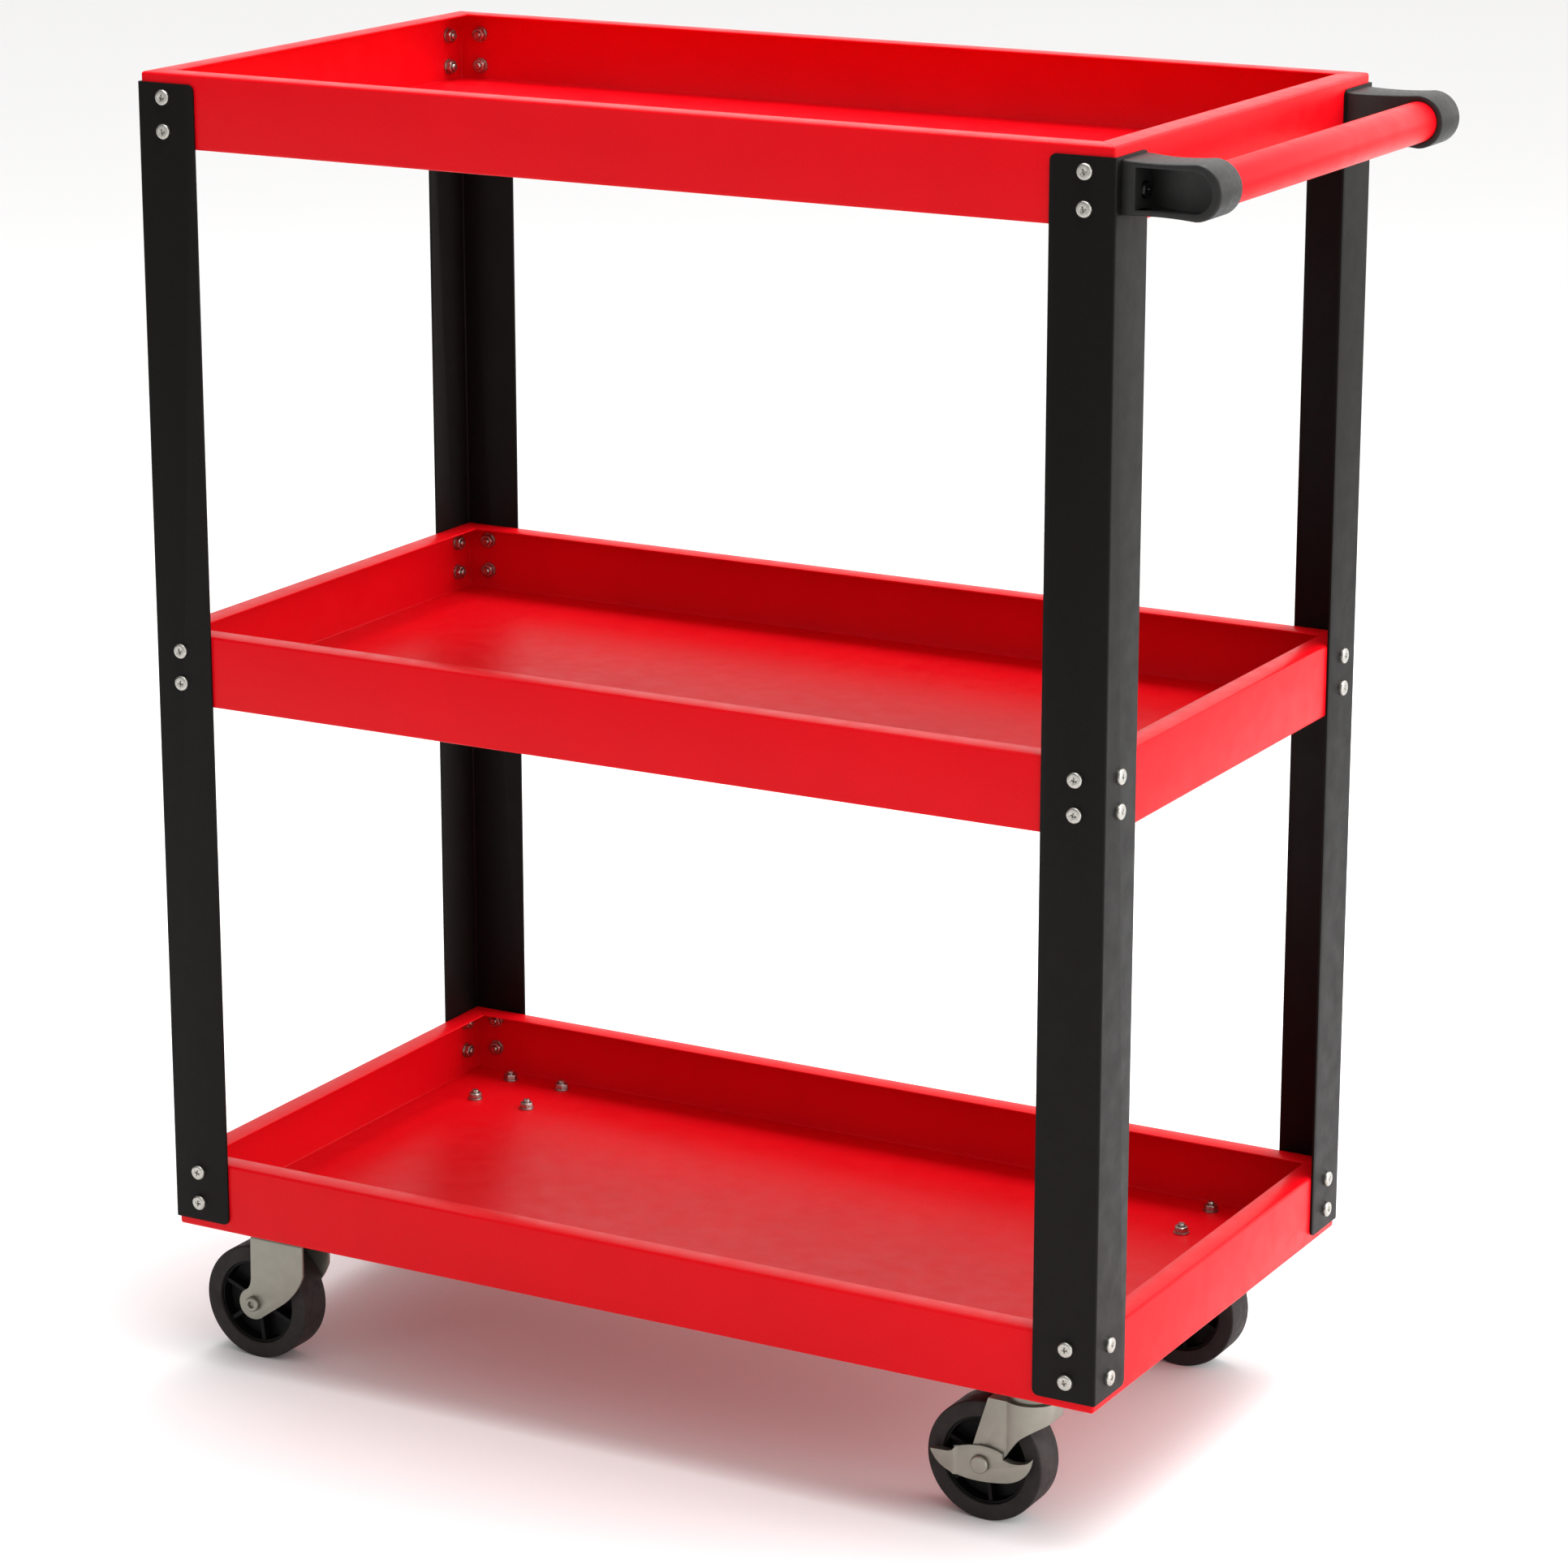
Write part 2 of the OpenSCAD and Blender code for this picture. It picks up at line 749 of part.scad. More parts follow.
module lever_outline() {
    polygon(concat(
        [[-32.6, 3.8], [-21, 4.4]],
        bend([-18.6, 5.2], [-17, 6.4], [-16.3, 7.9], 3),
        bend([-16.3, 7.9], [1, 14.8], [14.4, 9.2], 8),
        [[14.4, 9.2]],
        bend(lever_notch, lever_dip, lever_rise, 5),
        bend(lever_rise, [31.6, 6], lever_tip, 4),
        bend(lever_tip, [32.8, -4.4], [18, -8.6], 7),
        bend([18, -8.6], [-12, -14.6], [-26, -4.9], 9),
        bend([-26, -4.9], [-30.6, -1.4], [-32.6, 3.8], 4)
    ));
}

module tab_outline() {
    drop = [0, -tab_t];
    upper = concat(bend(lever_notch + [0.8, 0], lever_dip, lever_rise, 5),
                   bend(lever_rise, [31.6, 6], lever_tip - [0.8, 0.6], 4));
    lower = [for (i = [len(upper) - 1:-1:0]) upper[i] + drop];
    polygon(concat(upper, lower));
}

module brake_lever(sy) {
    inner = fork_half + lever_gap;
    tab_end = wheel_w / 2 + tab_reach;
    color(zinc)
        at_plate(1, sy) translate([-trail, 0, axle_z]) rotate([90, 0, 0])
            difference() {
                union() {
                    translate([0, 0, inner]) linear_extrude(lever_t)
                        intersection() {
                            lever_outline();
                            translate([lever_jog_x - 1, -20]) square([60, 40]);
                        }
                    translate([0, 0, inner + lever_step]) linear_extrude(lever_t)
                        intersection() {
                            lever_outline();
                            translate([-40, -20]) square([40 + lever_jog_x, 40]);
                        }
                    translate([0, 0, tab_end]) linear_extrude(inner + lever_t - tab_end) tab_outline();
                    translate([-31.8, 2.4, tab_end])
                        cube([10.6, tab_t, inner + lever_step + lever_t - tab_end - 0.2]);
                }
                translate([0, 0, inner - cut]) cylinder(r = axle_r + running, h = lever_t + 2 * cut);
            }
}

module front_right_plate() { plate(1, -1, true); }
module front_right_fork() { swivel_fork(-1); }
module front_right_kingpin() { pin(1, -1, swivel_web_z - web_t - king_gap); }
module front_right_balls() { ball_ring(-1); }
module front_right_axle() { brake_axle(-1); }
module front_right_sleeve() { sleeve(1, -1, -trail); }
module front_right_hub() { hub(1, -1, -trail); }
module front_right_tyre() { tyre(1, -1, -trail); }
module front_right_brake_lever() { brake_lever(-1); }
module rear_right_plate() { plate(1, 1, true); }
module rear_right_fork() { swivel_fork(1); }
module rear_right_kingpin() { pin(1, 1, swivel_web_z - web_t - king_gap); }
module rear_right_balls() { ball_ring(1); }
module rear_right_axle() { brake_axle(1); }
module rear_right_sleeve() { sleeve(1, 1, -trail); }
module rear_right_hub() { hub(1, 1, -trail); }
module rear_right_tyre() { tyre(1, 1, -trail); }
module rear_right_brake_lever() { brake_lever(1); }

top_tray();
middle_tray();
bottom_tray();
front_left_leg();
rear_left_leg();
front_right_leg();
rear_right_leg();
tray_screws();
tray_washers();
tray_nuts();
handle_tube();
front_handle_bracket();
rear_handle_bracket();
handle_screws();
handle_washers();
handle_nuts();
caster_bolts();
caster_washers();
caster_nuts();
front_left_plate();
front_left_fork();
front_left_rivet();
front_left_axle();
front_left_sleeve();
front_left_hub();
front_left_tyre();
rear_left_plate();
rear_left_fork();
rear_left_rivet();
rear_left_axle();
rear_left_sleeve();
rear_left_hub();
rear_left_tyre();
front_right_plate();
front_right_fork();
front_right_kingpin();
front_right_balls();
front_right_axle();
front_right_sleeve();
front_right_hub();
front_right_tyre();
front_right_brake_lever();
rear_right_plate();
rear_right_fork();
rear_right_kingpin();
rear_right_balls();
rear_right_axle();
rear_right_sleeve();
rear_right_hub();
rear_right_tyre();
rear_right_brake_lever();
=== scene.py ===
import json
from math import cos, hypot, pi, radians, sin

import bmesh
import bpy
from bpy.props import FloatProperty, FloatVectorProperty, IntProperty, PointerProperty
from mathutils import Matrix, Vector

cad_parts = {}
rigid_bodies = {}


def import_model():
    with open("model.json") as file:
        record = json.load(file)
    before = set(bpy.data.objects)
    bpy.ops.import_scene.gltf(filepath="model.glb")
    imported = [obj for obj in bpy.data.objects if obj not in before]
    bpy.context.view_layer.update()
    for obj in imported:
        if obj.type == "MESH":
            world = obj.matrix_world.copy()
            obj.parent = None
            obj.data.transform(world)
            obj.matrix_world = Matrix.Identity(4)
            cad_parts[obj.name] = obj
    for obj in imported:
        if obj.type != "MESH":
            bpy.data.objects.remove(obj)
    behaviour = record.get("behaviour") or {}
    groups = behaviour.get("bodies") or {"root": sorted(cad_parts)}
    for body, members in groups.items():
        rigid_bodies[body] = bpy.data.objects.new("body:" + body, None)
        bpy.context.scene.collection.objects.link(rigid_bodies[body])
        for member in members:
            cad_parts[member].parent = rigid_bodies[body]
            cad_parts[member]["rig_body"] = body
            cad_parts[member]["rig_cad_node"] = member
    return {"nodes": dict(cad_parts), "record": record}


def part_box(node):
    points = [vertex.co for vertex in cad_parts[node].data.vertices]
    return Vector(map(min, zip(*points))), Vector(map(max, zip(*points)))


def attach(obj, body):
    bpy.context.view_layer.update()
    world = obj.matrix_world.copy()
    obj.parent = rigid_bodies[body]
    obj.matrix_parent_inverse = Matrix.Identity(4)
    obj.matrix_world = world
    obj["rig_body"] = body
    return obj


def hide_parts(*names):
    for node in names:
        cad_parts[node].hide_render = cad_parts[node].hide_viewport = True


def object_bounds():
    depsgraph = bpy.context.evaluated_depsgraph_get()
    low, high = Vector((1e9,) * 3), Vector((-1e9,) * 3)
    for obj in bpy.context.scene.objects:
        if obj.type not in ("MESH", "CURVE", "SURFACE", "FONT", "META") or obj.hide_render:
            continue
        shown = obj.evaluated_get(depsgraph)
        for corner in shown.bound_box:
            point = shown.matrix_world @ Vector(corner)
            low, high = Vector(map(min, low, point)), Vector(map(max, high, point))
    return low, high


bl_info = {
    "name": "Tool cart",
    "version": (1, 0, 0),
    "blender": (4, 5, 0),
    "location": "3D View > Sidebar > Tool cart",
    "description": "Models a three-shelf tool cart on casters, piece by piece",
    "category": "Add Mesh",
}

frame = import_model()
CAD_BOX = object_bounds()
MM = 0.001
TINY = 0.02 * MM
TRAYS = ("bottom_tray", "middle_tray", "top_tray")
X, Y, Z = Vector((1, 0, 0)), Vector((0, 1, 0)), Vector((0, 0, 1))


# ---- Sizes and colours ----


def length(name, description, millimetres):
    """A length that a user can change, given in millimetres."""
    return FloatProperty(
        name=name, description=description, default=millimetres * MM,
        min=0.0, unit="LENGTH", subtype="DISTANCE", precision=5,
    )


def colour(name, description, value):
    """A colour that a user can change."""
    return FloatVectorProperty(
        name=name, description=description, default=value, size=3,
        min=0.0, max=1.0, subtype="COLOR",
    )


class CartSheetSizes(bpy.types.PropertyGroup):
    """Sizes of the trays and the legs."""

    sheet: length("Sheet", "Thickness of the trays' sheet steel", 1.2)
    rim: length("Rim flange", "Width of the flange turned in round a tray's rim", 15)
    bend: length("Bend", "Outer radius of the trays' bends", 1.8)
    inner_bend: length("Inner bend", "Inner radius of the trays' bends", 0.8)
    lip: length("Lip rounding", "Rounding of the rim flange's free edge", 0.35)
    seam: length("Seam", "Half width of the mitre seam at the rim's corners", 0.18)
    leg_width: length("Leg width", "Width of each flange of a leg", 40)
    leg_sheet: length("Leg sheet", "Thickness of the legs' steel", 1.5)
    leg_bend: length("Leg bend", "Outer bend radius of the legs", 2.5)
    leg_corner: length("Leg corners", "Radius of the legs' free corners", 4)


class CartFastenerSizes(bpy.types.PropertyGroup):
    """Sizes and places of the screws, bolts, washers and nuts."""

    inset: length("Inset", "Distance of each screw from the tray's corner", 17)
    first: length("First", "Height of the lowest screw over the lowest tray's underside", 17.3)
    pair: length("Pair", "Spacing of the two screws of a pair", 20.2)
    step: length("Step", "Height step from one pair of screws to the next", 338)
    head_radius: length("Head radius", "Radius of the pan heads", 4.75)
    head_height: length("Head height", "Height of the pan heads", 2.4)
    shank_radius: length("Shank radius", "Radius of the M5 shanks", 2.45)
    thread: length("Thread pitch", "Pitch of the M5 threads", 0.8)
    washer_radius: length("Washer radius", "Radius of the washers", 5)
    washer: length("Washer", "Thickness of the washers", 1)
    nut_flat: length("Nut width", "Width across the flats of the nuts", 8)
    nut: length("Nut", "Thickness of the nuts", 3.5)
    stub: length("Stub", "How far a screw's end stands out of its nut", 1.5)
    bolt_stub: length("Bolt stub", "How far a caster bolt stands out of its nut", 2)
    plate: length("Plate", "Thickness of the casters' plates", 2.5)
    bolt_span_x: length("Bolt span X", "Spacing of the caster bolts along the cart", 41)
    bolt_span_y: length("Bolt span Y", "Spacing of the caster bolts across the cart", 45)
    plate_inset_x: length("Plate inset X", "Plate centre's distance from the tray's end", 57)
    plate_inset_y: length("Plate inset Y", "Plate centre's distance from the tray's side", 38.3)


class CartHandleSizes(bpy.types.PropertyGroup):
    """Sizes of the handle tube and its brackets."""

    tube_wall: length("Tube wall", "Wall thickness of the handle tube", 1.2)
    end_radius: length("End radius", "Radius of a bracket's outer end", 15.6)
    waist: length("Waist", "Half height of a bracket at its waist", 14.5)
    root: length("Root", "Half height of a bracket where it meets the leg", 15.2)
    back: length("Back", "Depth of a bracket's arm from the tray's side", 33)
    root_back: length("Root depth", "Depth of a bracket's root from the tray's side", 37)
    wall: length("Wall", "Thickness of a bracket's wall against the leg", 8)
    pocket: length("Pocket", "Radius of the pocket in a bracket's outer face", 11.5)
    deep: length("Deep pocket", "Depth of the pocket at the screw", 20)
    shallow: length("Shallow pocket", "Depth of the pocket beside the tube's socket", 8.5)
    ramp: length("Pocket ramp", "Length over which the pocket's floor rises", 24)
    pocket_end: length("Pocket end", "Distance from the pocket's round end to the tube's axis", 1.4)
    gap: length("Socket gap", "Gap round the tube in its socket", 0.2)
    edge: length("Edge", "Rounding of a bracket's outer edges", 1.6)


class CartWheelSizes(bpy.types.PropertyGroup):
    """Sizes of the wheels."""

    tyre_bore: length("Tyre bore", "Inner radius of the tyres", 27.5)
    tyre_round: length("Shoulder", "Radius of the tyres' shoulders", 1.2)
    tyre_lip: length("Tyre lip", "Rounding of the tyres' inner edges", 0.6)
    rim: length("Hub rim", "Thickness of the hub's outer ring", 1.5)
    web: length("Hub web", "Thickness of the hub's web", 4)
    boss: length("Boss", "Radius of the hub's boss", 9.5)
    bore: length("Bore", "Radius of the hub's bore", 6.06)
    hub_half: length("Hub half width", "Half of the hub ring's width", 10)
    spoke: length("Spoke", "Thickness of a spoke", 2.6)
    spokes: IntProperty(name="Spokes", description="Number of spokes", default=6, min=3, max=12)
    spoke_start: FloatProperty(
        name="First spoke", description="Angle of the first spoke", default=radians(37), subtype="ANGLE",
    )


class CartCasterSizes(bpy.types.PropertyGroup):
    """Sizes of the casters' pressed steel parts and rivets."""

    bend: length("Fork bend", "Outer radius of the forks' bends", 3)
    crease: length("Crease", "Rounding of the crease between a swivel fork's house and cheeks", 0.7)
    race: length("Race height", "Height of a swivel fork's ball race over its web", 3.5)
    race_radius: length("Race radius", "Radius of a swivel fork's ball race", 14)
    race_round: length("Race rounding", "Rounding of the ball race's edges", 0.7)
    edge: length("Pressed edge", "Rounding of pressed steel edges", 0.3)
    joggle: length("Joggle", "Length of the ramp of a brake lever's joggle", 2.4)
    joggle_at: length("Joggle place", "Distance of the joggle from the lever's axle", 15)
    shank: length("Rivet shank", "Radius of the wheels' axle rivets", 4)
    head: length("Rivet head", "Height of the swivel casters' rivet heads", 2.2)
    head_round: length("Head rounding", "Rounding of the rivet heads", 1.2)
    hollow: length("Rivet hole", "Radius of the blind holes in the fixed casters' rivets", 2.35)
    hollow_deep: length("Rivet hole depth", "Depth of the blind holes in the fixed casters' rivets", 2.2)


class CartColours(bpy.types.PropertyGroup):
    """Colours of the cart's finishes."""

    red: colour("Red", "The trays' and the handle tube's powder coat", (0.61, 0.0015, 0.006))
    black: colour("Black", "The legs' powder coat", (0.0042, 0.0036, 0.0031))
    zinc: colour("Zinc", "Dull plating of forks, plates and levers", (0.27, 0.262, 0.222))
    bright: colour("Bright steel", "Plating of screws, nuts and rivets", (0.44, 0.43, 0.395))
    plastic: colour("Plastic", "The handle brackets' plastic", (0.014, 0.0135, 0.013))
    core: colour("Wheel core", "The hubs' plastic", (0.0022, 0.002, 0.002))
    rubber: colour("Rubber", "The tyres' rubber", (0.018, 0.0145, 0.0135))
    floor: colour("Floor", "The floor under the cart", (0.77, 0.77, 0.775))


# ---- Working in edit mode ----


def one(piece):
    """Makes a piece the only selected and the active object."""
    bpy.ops.object.select_all(action="DESELECT")
    piece.select_set(True)
    bpy.context.view_layer.objects.active = piece


def bake_place():
    """Puts the active object's place into its mesh."""
    bpy.ops.object.transform_apply(location=True, rotation=True, scale=True)


def settle(name):
    """Names the active object and puts its place into its mesh."""
    piece = bpy.context.object
    piece.name = piece.data.name = name
    bake_place()
    return piece


def add_box(name, lo, hi):
    """A box between two corners."""
    bpy.ops.object.select_all(action="DESELECT")
    bpy.ops.mesh.primitive_cube_add(size=1, location=(Vector(lo) + Vector(hi)) / 2)
    bpy.context.object.scale = Vector(hi) - Vector(lo)
    return settle(name)


def add_cylinder(name, radius, start, end, sides=48):
    """A closed cylinder between two points."""
    start, end = Vector(start), Vector(end)
    along = end - start
    bpy.ops.object.select_all(action="DESELECT")
    bpy.ops.mesh.primitive_cylinder_add(
        vertices=sides, radius=radius, depth=along.length, location=(start + end) / 2,
        rotation=along.to_track_quat("Z", "Y").to_euler(),
    )
    return settle(name)


def add_rod(name, radius, middle, start, end, sides):
    """A closed cylinder along Y, through a middle's place on X and Z."""
    return add_cylinder(name, radius, (middle.x, start, middle.z), (middle.x, end, middle.z), sides)


def edit():
    bpy.ops.object.mode_set(mode="EDIT")


def done():
    bpy.ops.object.mode_set(mode="OBJECT")


def everything():
    bpy.ops.mesh.select_all(action="SELECT")


def pick(kind, test):
    """Selects the vertices, edges or faces that pass a test, and nothing else. Returns how many."""
    mesh = bpy.context.object.data
    bpy.ops.mesh.select_mode(type={"verts": "VERT", "edges": "EDGE", "faces": "FACE"}[kind])
    bpy.ops.mesh.select_all(action="DESELECT")
    shape = bmesh.from_edit_mesh(mesh)
    found = [element for element in getattr(shape, kind) if test(element)]
    for element in found:
        element.select_set(True)
    shape.select_flush_mode()
    bmesh.update_edit_mesh(mesh)
    return len(found)


def pick_facing(direction):
    """Selects the faces that point along a direction."""
    pick("faces", lambda f: f.normal.dot(direction) > 0.9)


def near(a, b, slack=TINY):
    return abs(a - b) < slack


def ends(edge):
    return [v.co for v in edge.verts]


def both(edge, axis, value, slack=TINY):
    """True if both ends of an edge lie at that value on an axis (0, 1 or 2)."""
    return all(near(p[axis], value, slack) for p in ends(edge))


def along(edge, axis):
    """True if an edge runs along an axis (0, 1 or 2)."""
    a, b = ends(edge)
    return abs((b - a)[axis]) > 0.999 * (b - a).length


def keep_beyond(x):
    """Goes into edit mode, removes what lies before a place on X, and selects the flat face left there."""
    edit()
    everything()
    bpy.ops.mesh.bisect(plane_co=(x, 0, 0), plane_no=X, clear_inner=True, use_fill=True)
    pick_facing(-X)


def extrude(shift=(0, 0, 0)):
    bpy.ops.mesh.extrude_region_move(TRANSFORM_OT_translate={"value": shift})


def scale_about(centre, factors):
    bpy.ops.transform.resize(value=factors, center_override=centre)


def round_edges(width, segments):
    """Rounds the selected edges."""
    bpy.ops.mesh.bevel(offset=width, segments=segments, affect="EDGES", clamp_overlap=True)


def soften(piece, width, segments=2, angle=35):
    """Rounds every sharp edge of a piece a little, with a bevel modifier."""
    one(piece)
    bevel = piece.modifiers.new("soft_edges", "BEVEL")
    bevel.width = width
    bevel.segments = segments
    bevel.limit_method = "ANGLE"
    bevel.angle_limit = radians(angle)
    bevel.use_clamp_overlap = True
    bpy.ops.object.modifier_apply(modifier=bevel.name)


def cut_with(piece, cutter, operation="DIFFERENCE"):
    """Cuts, joins or trims a piece with another shape, which is then removed."""
    one(piece)
    boolean = piece.modifiers.new("cut", "BOOLEAN")
    boolean.operation = operation
    boolean.solver = "EXACT"
    boolean.use_self = True
    boolean.object = cutter
    bpy.ops.object.modifier_apply(modifier=boolean.name)
    remove(cutter)


def remove(piece):
    mesh = piece.data
    bpy.data.objects.remove(piece)
    bpy.data.meshes.remove(mesh)


def smooth(piece, angle=32):
    one(piece)
    bpy.ops.object.shade_smooth_by_angle(angle=radians(angle))


def copy_of(piece, name):
    """A copy of a piece with its own mesh."""
    one(piece)
    bpy.ops.object.duplicate()
    twin = bpy.context.object
    twin.name = twin.data.name = name
    return twin


def placed_copy(piece, name, place):
    """A copy of a piece, moved by a matrix that ends up in its mesh."""
    twin = copy_of(piece, name)
    twin.matrix_world = place
    bake_place()
    return twin


def mirrored_copy(piece, name, axis, middle=0.0):
    """A mirror image of a piece about a plane across an axis, with its faces pointing outwards."""
    flip = Matrix.Scale(-1, 4, axis)
    twin = placed_copy(piece, name, Matrix.Translation(2 * middle * axis) @ flip)
    edit()
    everything()
    bpy.ops.mesh.normals_make_consistent(inside=False)
    done()
    return twin


def joined(pieces, name):
    """Several pieces as one."""
    bpy.ops.object.select_all(action="DESELECT")
    for piece in pieces:
        piece.select_set(True)
    bpy.context.view_layer.objects.active = pieces[0]
    if len(pieces) > 1:
        bpy.ops.object.join()
    whole = bpy.context.object
    whole.name = whole.data.name = name
    return whole


def worked_copy(node, name):
    """A merged copy of a CAD node, with its flat faces whole again, to round its edges on."""
    piece = copy_of(frame["nodes"][node], name)
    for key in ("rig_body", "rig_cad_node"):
        del piece[key]
    piece.parent = None
    edit()
    everything()
    bpy.ops.mesh.remove_doubles(threshold=0.002 * MM)
    bpy.ops.mesh.dissolve_limited(angle_limit=radians(0.4))
    done()
    return piece


def fit(piece, body, slot, *nodes):
    """Gives a finished piece its finish, its body and the CAD nodes that it stands for."""
    piece.data.materials.clear()
    piece.data.materials.append(finish(slot))
    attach(piece, body)
    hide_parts(*nodes)


# ---- Finishes ----


class Finish:
    """A procedural material in the making, on object coordinates."""

    def __init__(self, name, base, roughness, metallic=0.0, specular=0.5):
        self.material = bpy.data.materials.new(name)
        self.material.use_nodes = True
        self.nodes = self.material.node_tree.nodes
        self.links = self.material.node_tree.links
        self.shader = self.nodes["Principled BSDF"]
        self.base = (*base, 1.0)
        self.shader.inputs["Base Color"].default_value = self.base
        self.shader.inputs["Roughness"].default_value = roughness
        self.shader.inputs["Metallic"].default_value = metallic
        self.shader.inputs["Specular IOR Level"].default_value = specular
        self.where = self.nodes.new("ShaderNodeTexCoord").outputs["Object"]
        self.height = None

    def noise(self, size, detail=2.0, stretch=(1, 1, 1)):
        """A noise whose marks are about that many millimetres across."""
        mapping = self.nodes.new("ShaderNodeMapping")
        mapping.inputs["Scale"].default_value = stretch
        texture = self.nodes.new("ShaderNodeTexNoise")
        texture.inputs["Scale"].default_value = 1 / (size * MM)
        texture.inputs["Detail"].default_value = detail
        self.links.new(self.where, mapping.inputs["Vector"])
        self.links.new(mapping.outputs["Vector"], texture.inputs["Vector"])
        return texture.outputs["Fac"]

    def spread(self, value, low, high):
        """Maps the middle of a noise to a range."""
        ramp = self.nodes.new("ShaderNodeMapRange")
        ramp.inputs["From Min"].default_value = 0.3
        ramp.inputs["From Max"].default_value = 0.7
        ramp.inputs["To Min"].default_value = low
        ramp.inputs["To Max"].default_value = high
        self.links.new(value, ramp.inputs["Value"])
        return ramp.outputs["Result"]

    def tint(self, value, dark, light):
        """Varies the base colour between two strengths of itself."""
        mix = self.nodes.new("ShaderNodeMix")
        mix.data_type = "RGBA"
        previous = self.shader.inputs["Base Color"]
        mix.blend_type = "MULTIPLY"
        mix.inputs["Factor"].default_value = 1.0
        if previous.is_linked:
            self.links.new(previous.links[0].from_socket, mix.inputs["A"])
        else:
            mix.inputs["A"].default_value = self.base
        self.links.new(self.spread(value, dark, light), mix.inputs["B"])
        self.links.new(mix.outputs["Result"], previous)

    def roughen(self, value, low, high):
        self.links.new(self.spread(value, low, high), self.shader.inputs["Roughness"])

    def bump(self, value, depth, strength=1.0):
        """Adds a relief of that depth in millimetres."""
        bump = self.nodes.new("ShaderNodeBump")
        bump.inputs["Strength"].default_value = strength
        bump.inputs["Distance"].default_value = depth * MM
        self.links.new(value, bump.inputs["Height"])
        if self.height is not None:
            self.links.new(self.height, bump.inputs["Normal"])
        self.height = bump.outputs["Normal"]
        self.links.new(self.height, self.shader.inputs["Normal"])


def powder_coat(name, base, roughness, specular, speckle):
    """Satin powder coat: orange peel, a fine grain and slightly uneven gloss."""
    coat = Finish(name, base, roughness, specular=specular)
    coat.tint(coat.noise(1.1, detail=3), 1 - speckle, 1 + speckle)
    coat.tint(coat.noise(60), 0.97, 1.03)
    coat.roughen(coat.noise(14), roughness - 0.04, roughness + 0.05)
    coat.bump(coat.noise(2.2, detail=1), 0.05)
    coat.bump(coat.noise(0.6), 0.012)
    return coat.material


def dull_zinc(name, base):
    """Dull zinc plating on pressed steel, with faint cloudy marks and fine rubbing."""
    zinc = Finish(name, base, 0.41, metallic=0.85)
    zinc.tint(zinc.noise(7, detail=4), 0.96, 1.04)
    zinc.roughen(zinc.noise(4, detail=4), 0.38, 0.44)
    zinc.bump(zinc.noise(0.5, stretch=(1, 1, 5)), 0.006)
    return zinc.material


def bright_steel(name, base):
    """Bright plated fasteners, turned and a little stained."""
    steel = Finish(name, base, 0.30, metallic=1.0)
    steel.tint(steel.noise(1.6, detail=3), 0.84, 1.06)
    steel.roughen(steel.noise(1.0, detail=3), 0.24, 0.42)
    steel.bump(steel.noise(0.3), 0.004)
    return steel.material


def moulded_plastic(name, base, roughness, specular, grain):
    """Moulded plastic with an etched grain."""
    plastic = Finish(name, base, roughness, specular=specular)
    plastic.tint(plastic.noise(9, detail=3), 0.88, 1.12)
    plastic.roughen(plastic.noise(3), roughness - 0.06, roughness + 0.07)
    plastic.bump(plastic.noise(grain, detail=1), 0.03)
    return plastic.material


def tyre_rubber(name, base):
    """Dark rubber with a dusty bloom and a fine grain."""
    rubber = Finish(name, base, 0.62, specular=0.2)
    rubber.tint(rubber.noise(11, detail=4), 0.80, 1.25)
    rubber.tint(rubber.noise(1.0, detail=2), 0.90, 1.10)
    rubber.roughen(rubber.noise(6, detail=3), 0.54, 0.72)
    rubber.bump(rubber.noise(0.9), 0.03)
    return rubber.material


def floor_paint(name, base):
    """A matt pale floor with barely seen unevenness."""
    floor = Finish(name, base, 0.85, specular=0.1)
    floor.tint(floor.noise(900, detail=3), 0.995, 1.005)
    floor.bump(floor.noise(6), 0.05)
    return floor.material


# For each slot: its maker, its colour's name and the maker's other values
FINISHES = {
    "red_powder_coat": (powder_coat, "red", 0.36, 0.1, 0.06),
    "black_powder_coat": (powder_coat, "black", 0.44, 0.1, 0.15),
    "zinc_plated_steel": (dull_zinc, "zinc"),
    "fastener_steel": (bright_steel, "bright"),
    "black_screw_finish": (moulded_plastic, "core", 0.35, 0.4, 0.5),
    "bracket_plastic": (moulded_plastic, "plastic", 0.48, 0.25, 0.8),
    "wheel_core_plastic": (moulded_plastic, "core", 0.42, 0.12, 0.8),
    "tyre_rubber": (tyre_rubber, "rubber"),
    "floor_paint": (floor_paint, "floor"),
}


def finish(slot):
    """The material of a slot, made when it is first asked for."""
    found = bpy.data.materials.get("cart_" + slot)
    if found is None:
        make, colour_name, *values = FINISHES[slot]
        found = make(slot, getattr(bpy.context.scene.cart_colours, colour_name), *values)
        found.name = "cart_" + slot
    return found


# ---- Trays and legs ----


def on_planes(edge, lo, hi):
    """On how many of a box's six sides both ends of an edge lie."""
    return sum(both(edge, axis, side[axis]) for axis in range(3) for side in (lo, hi))


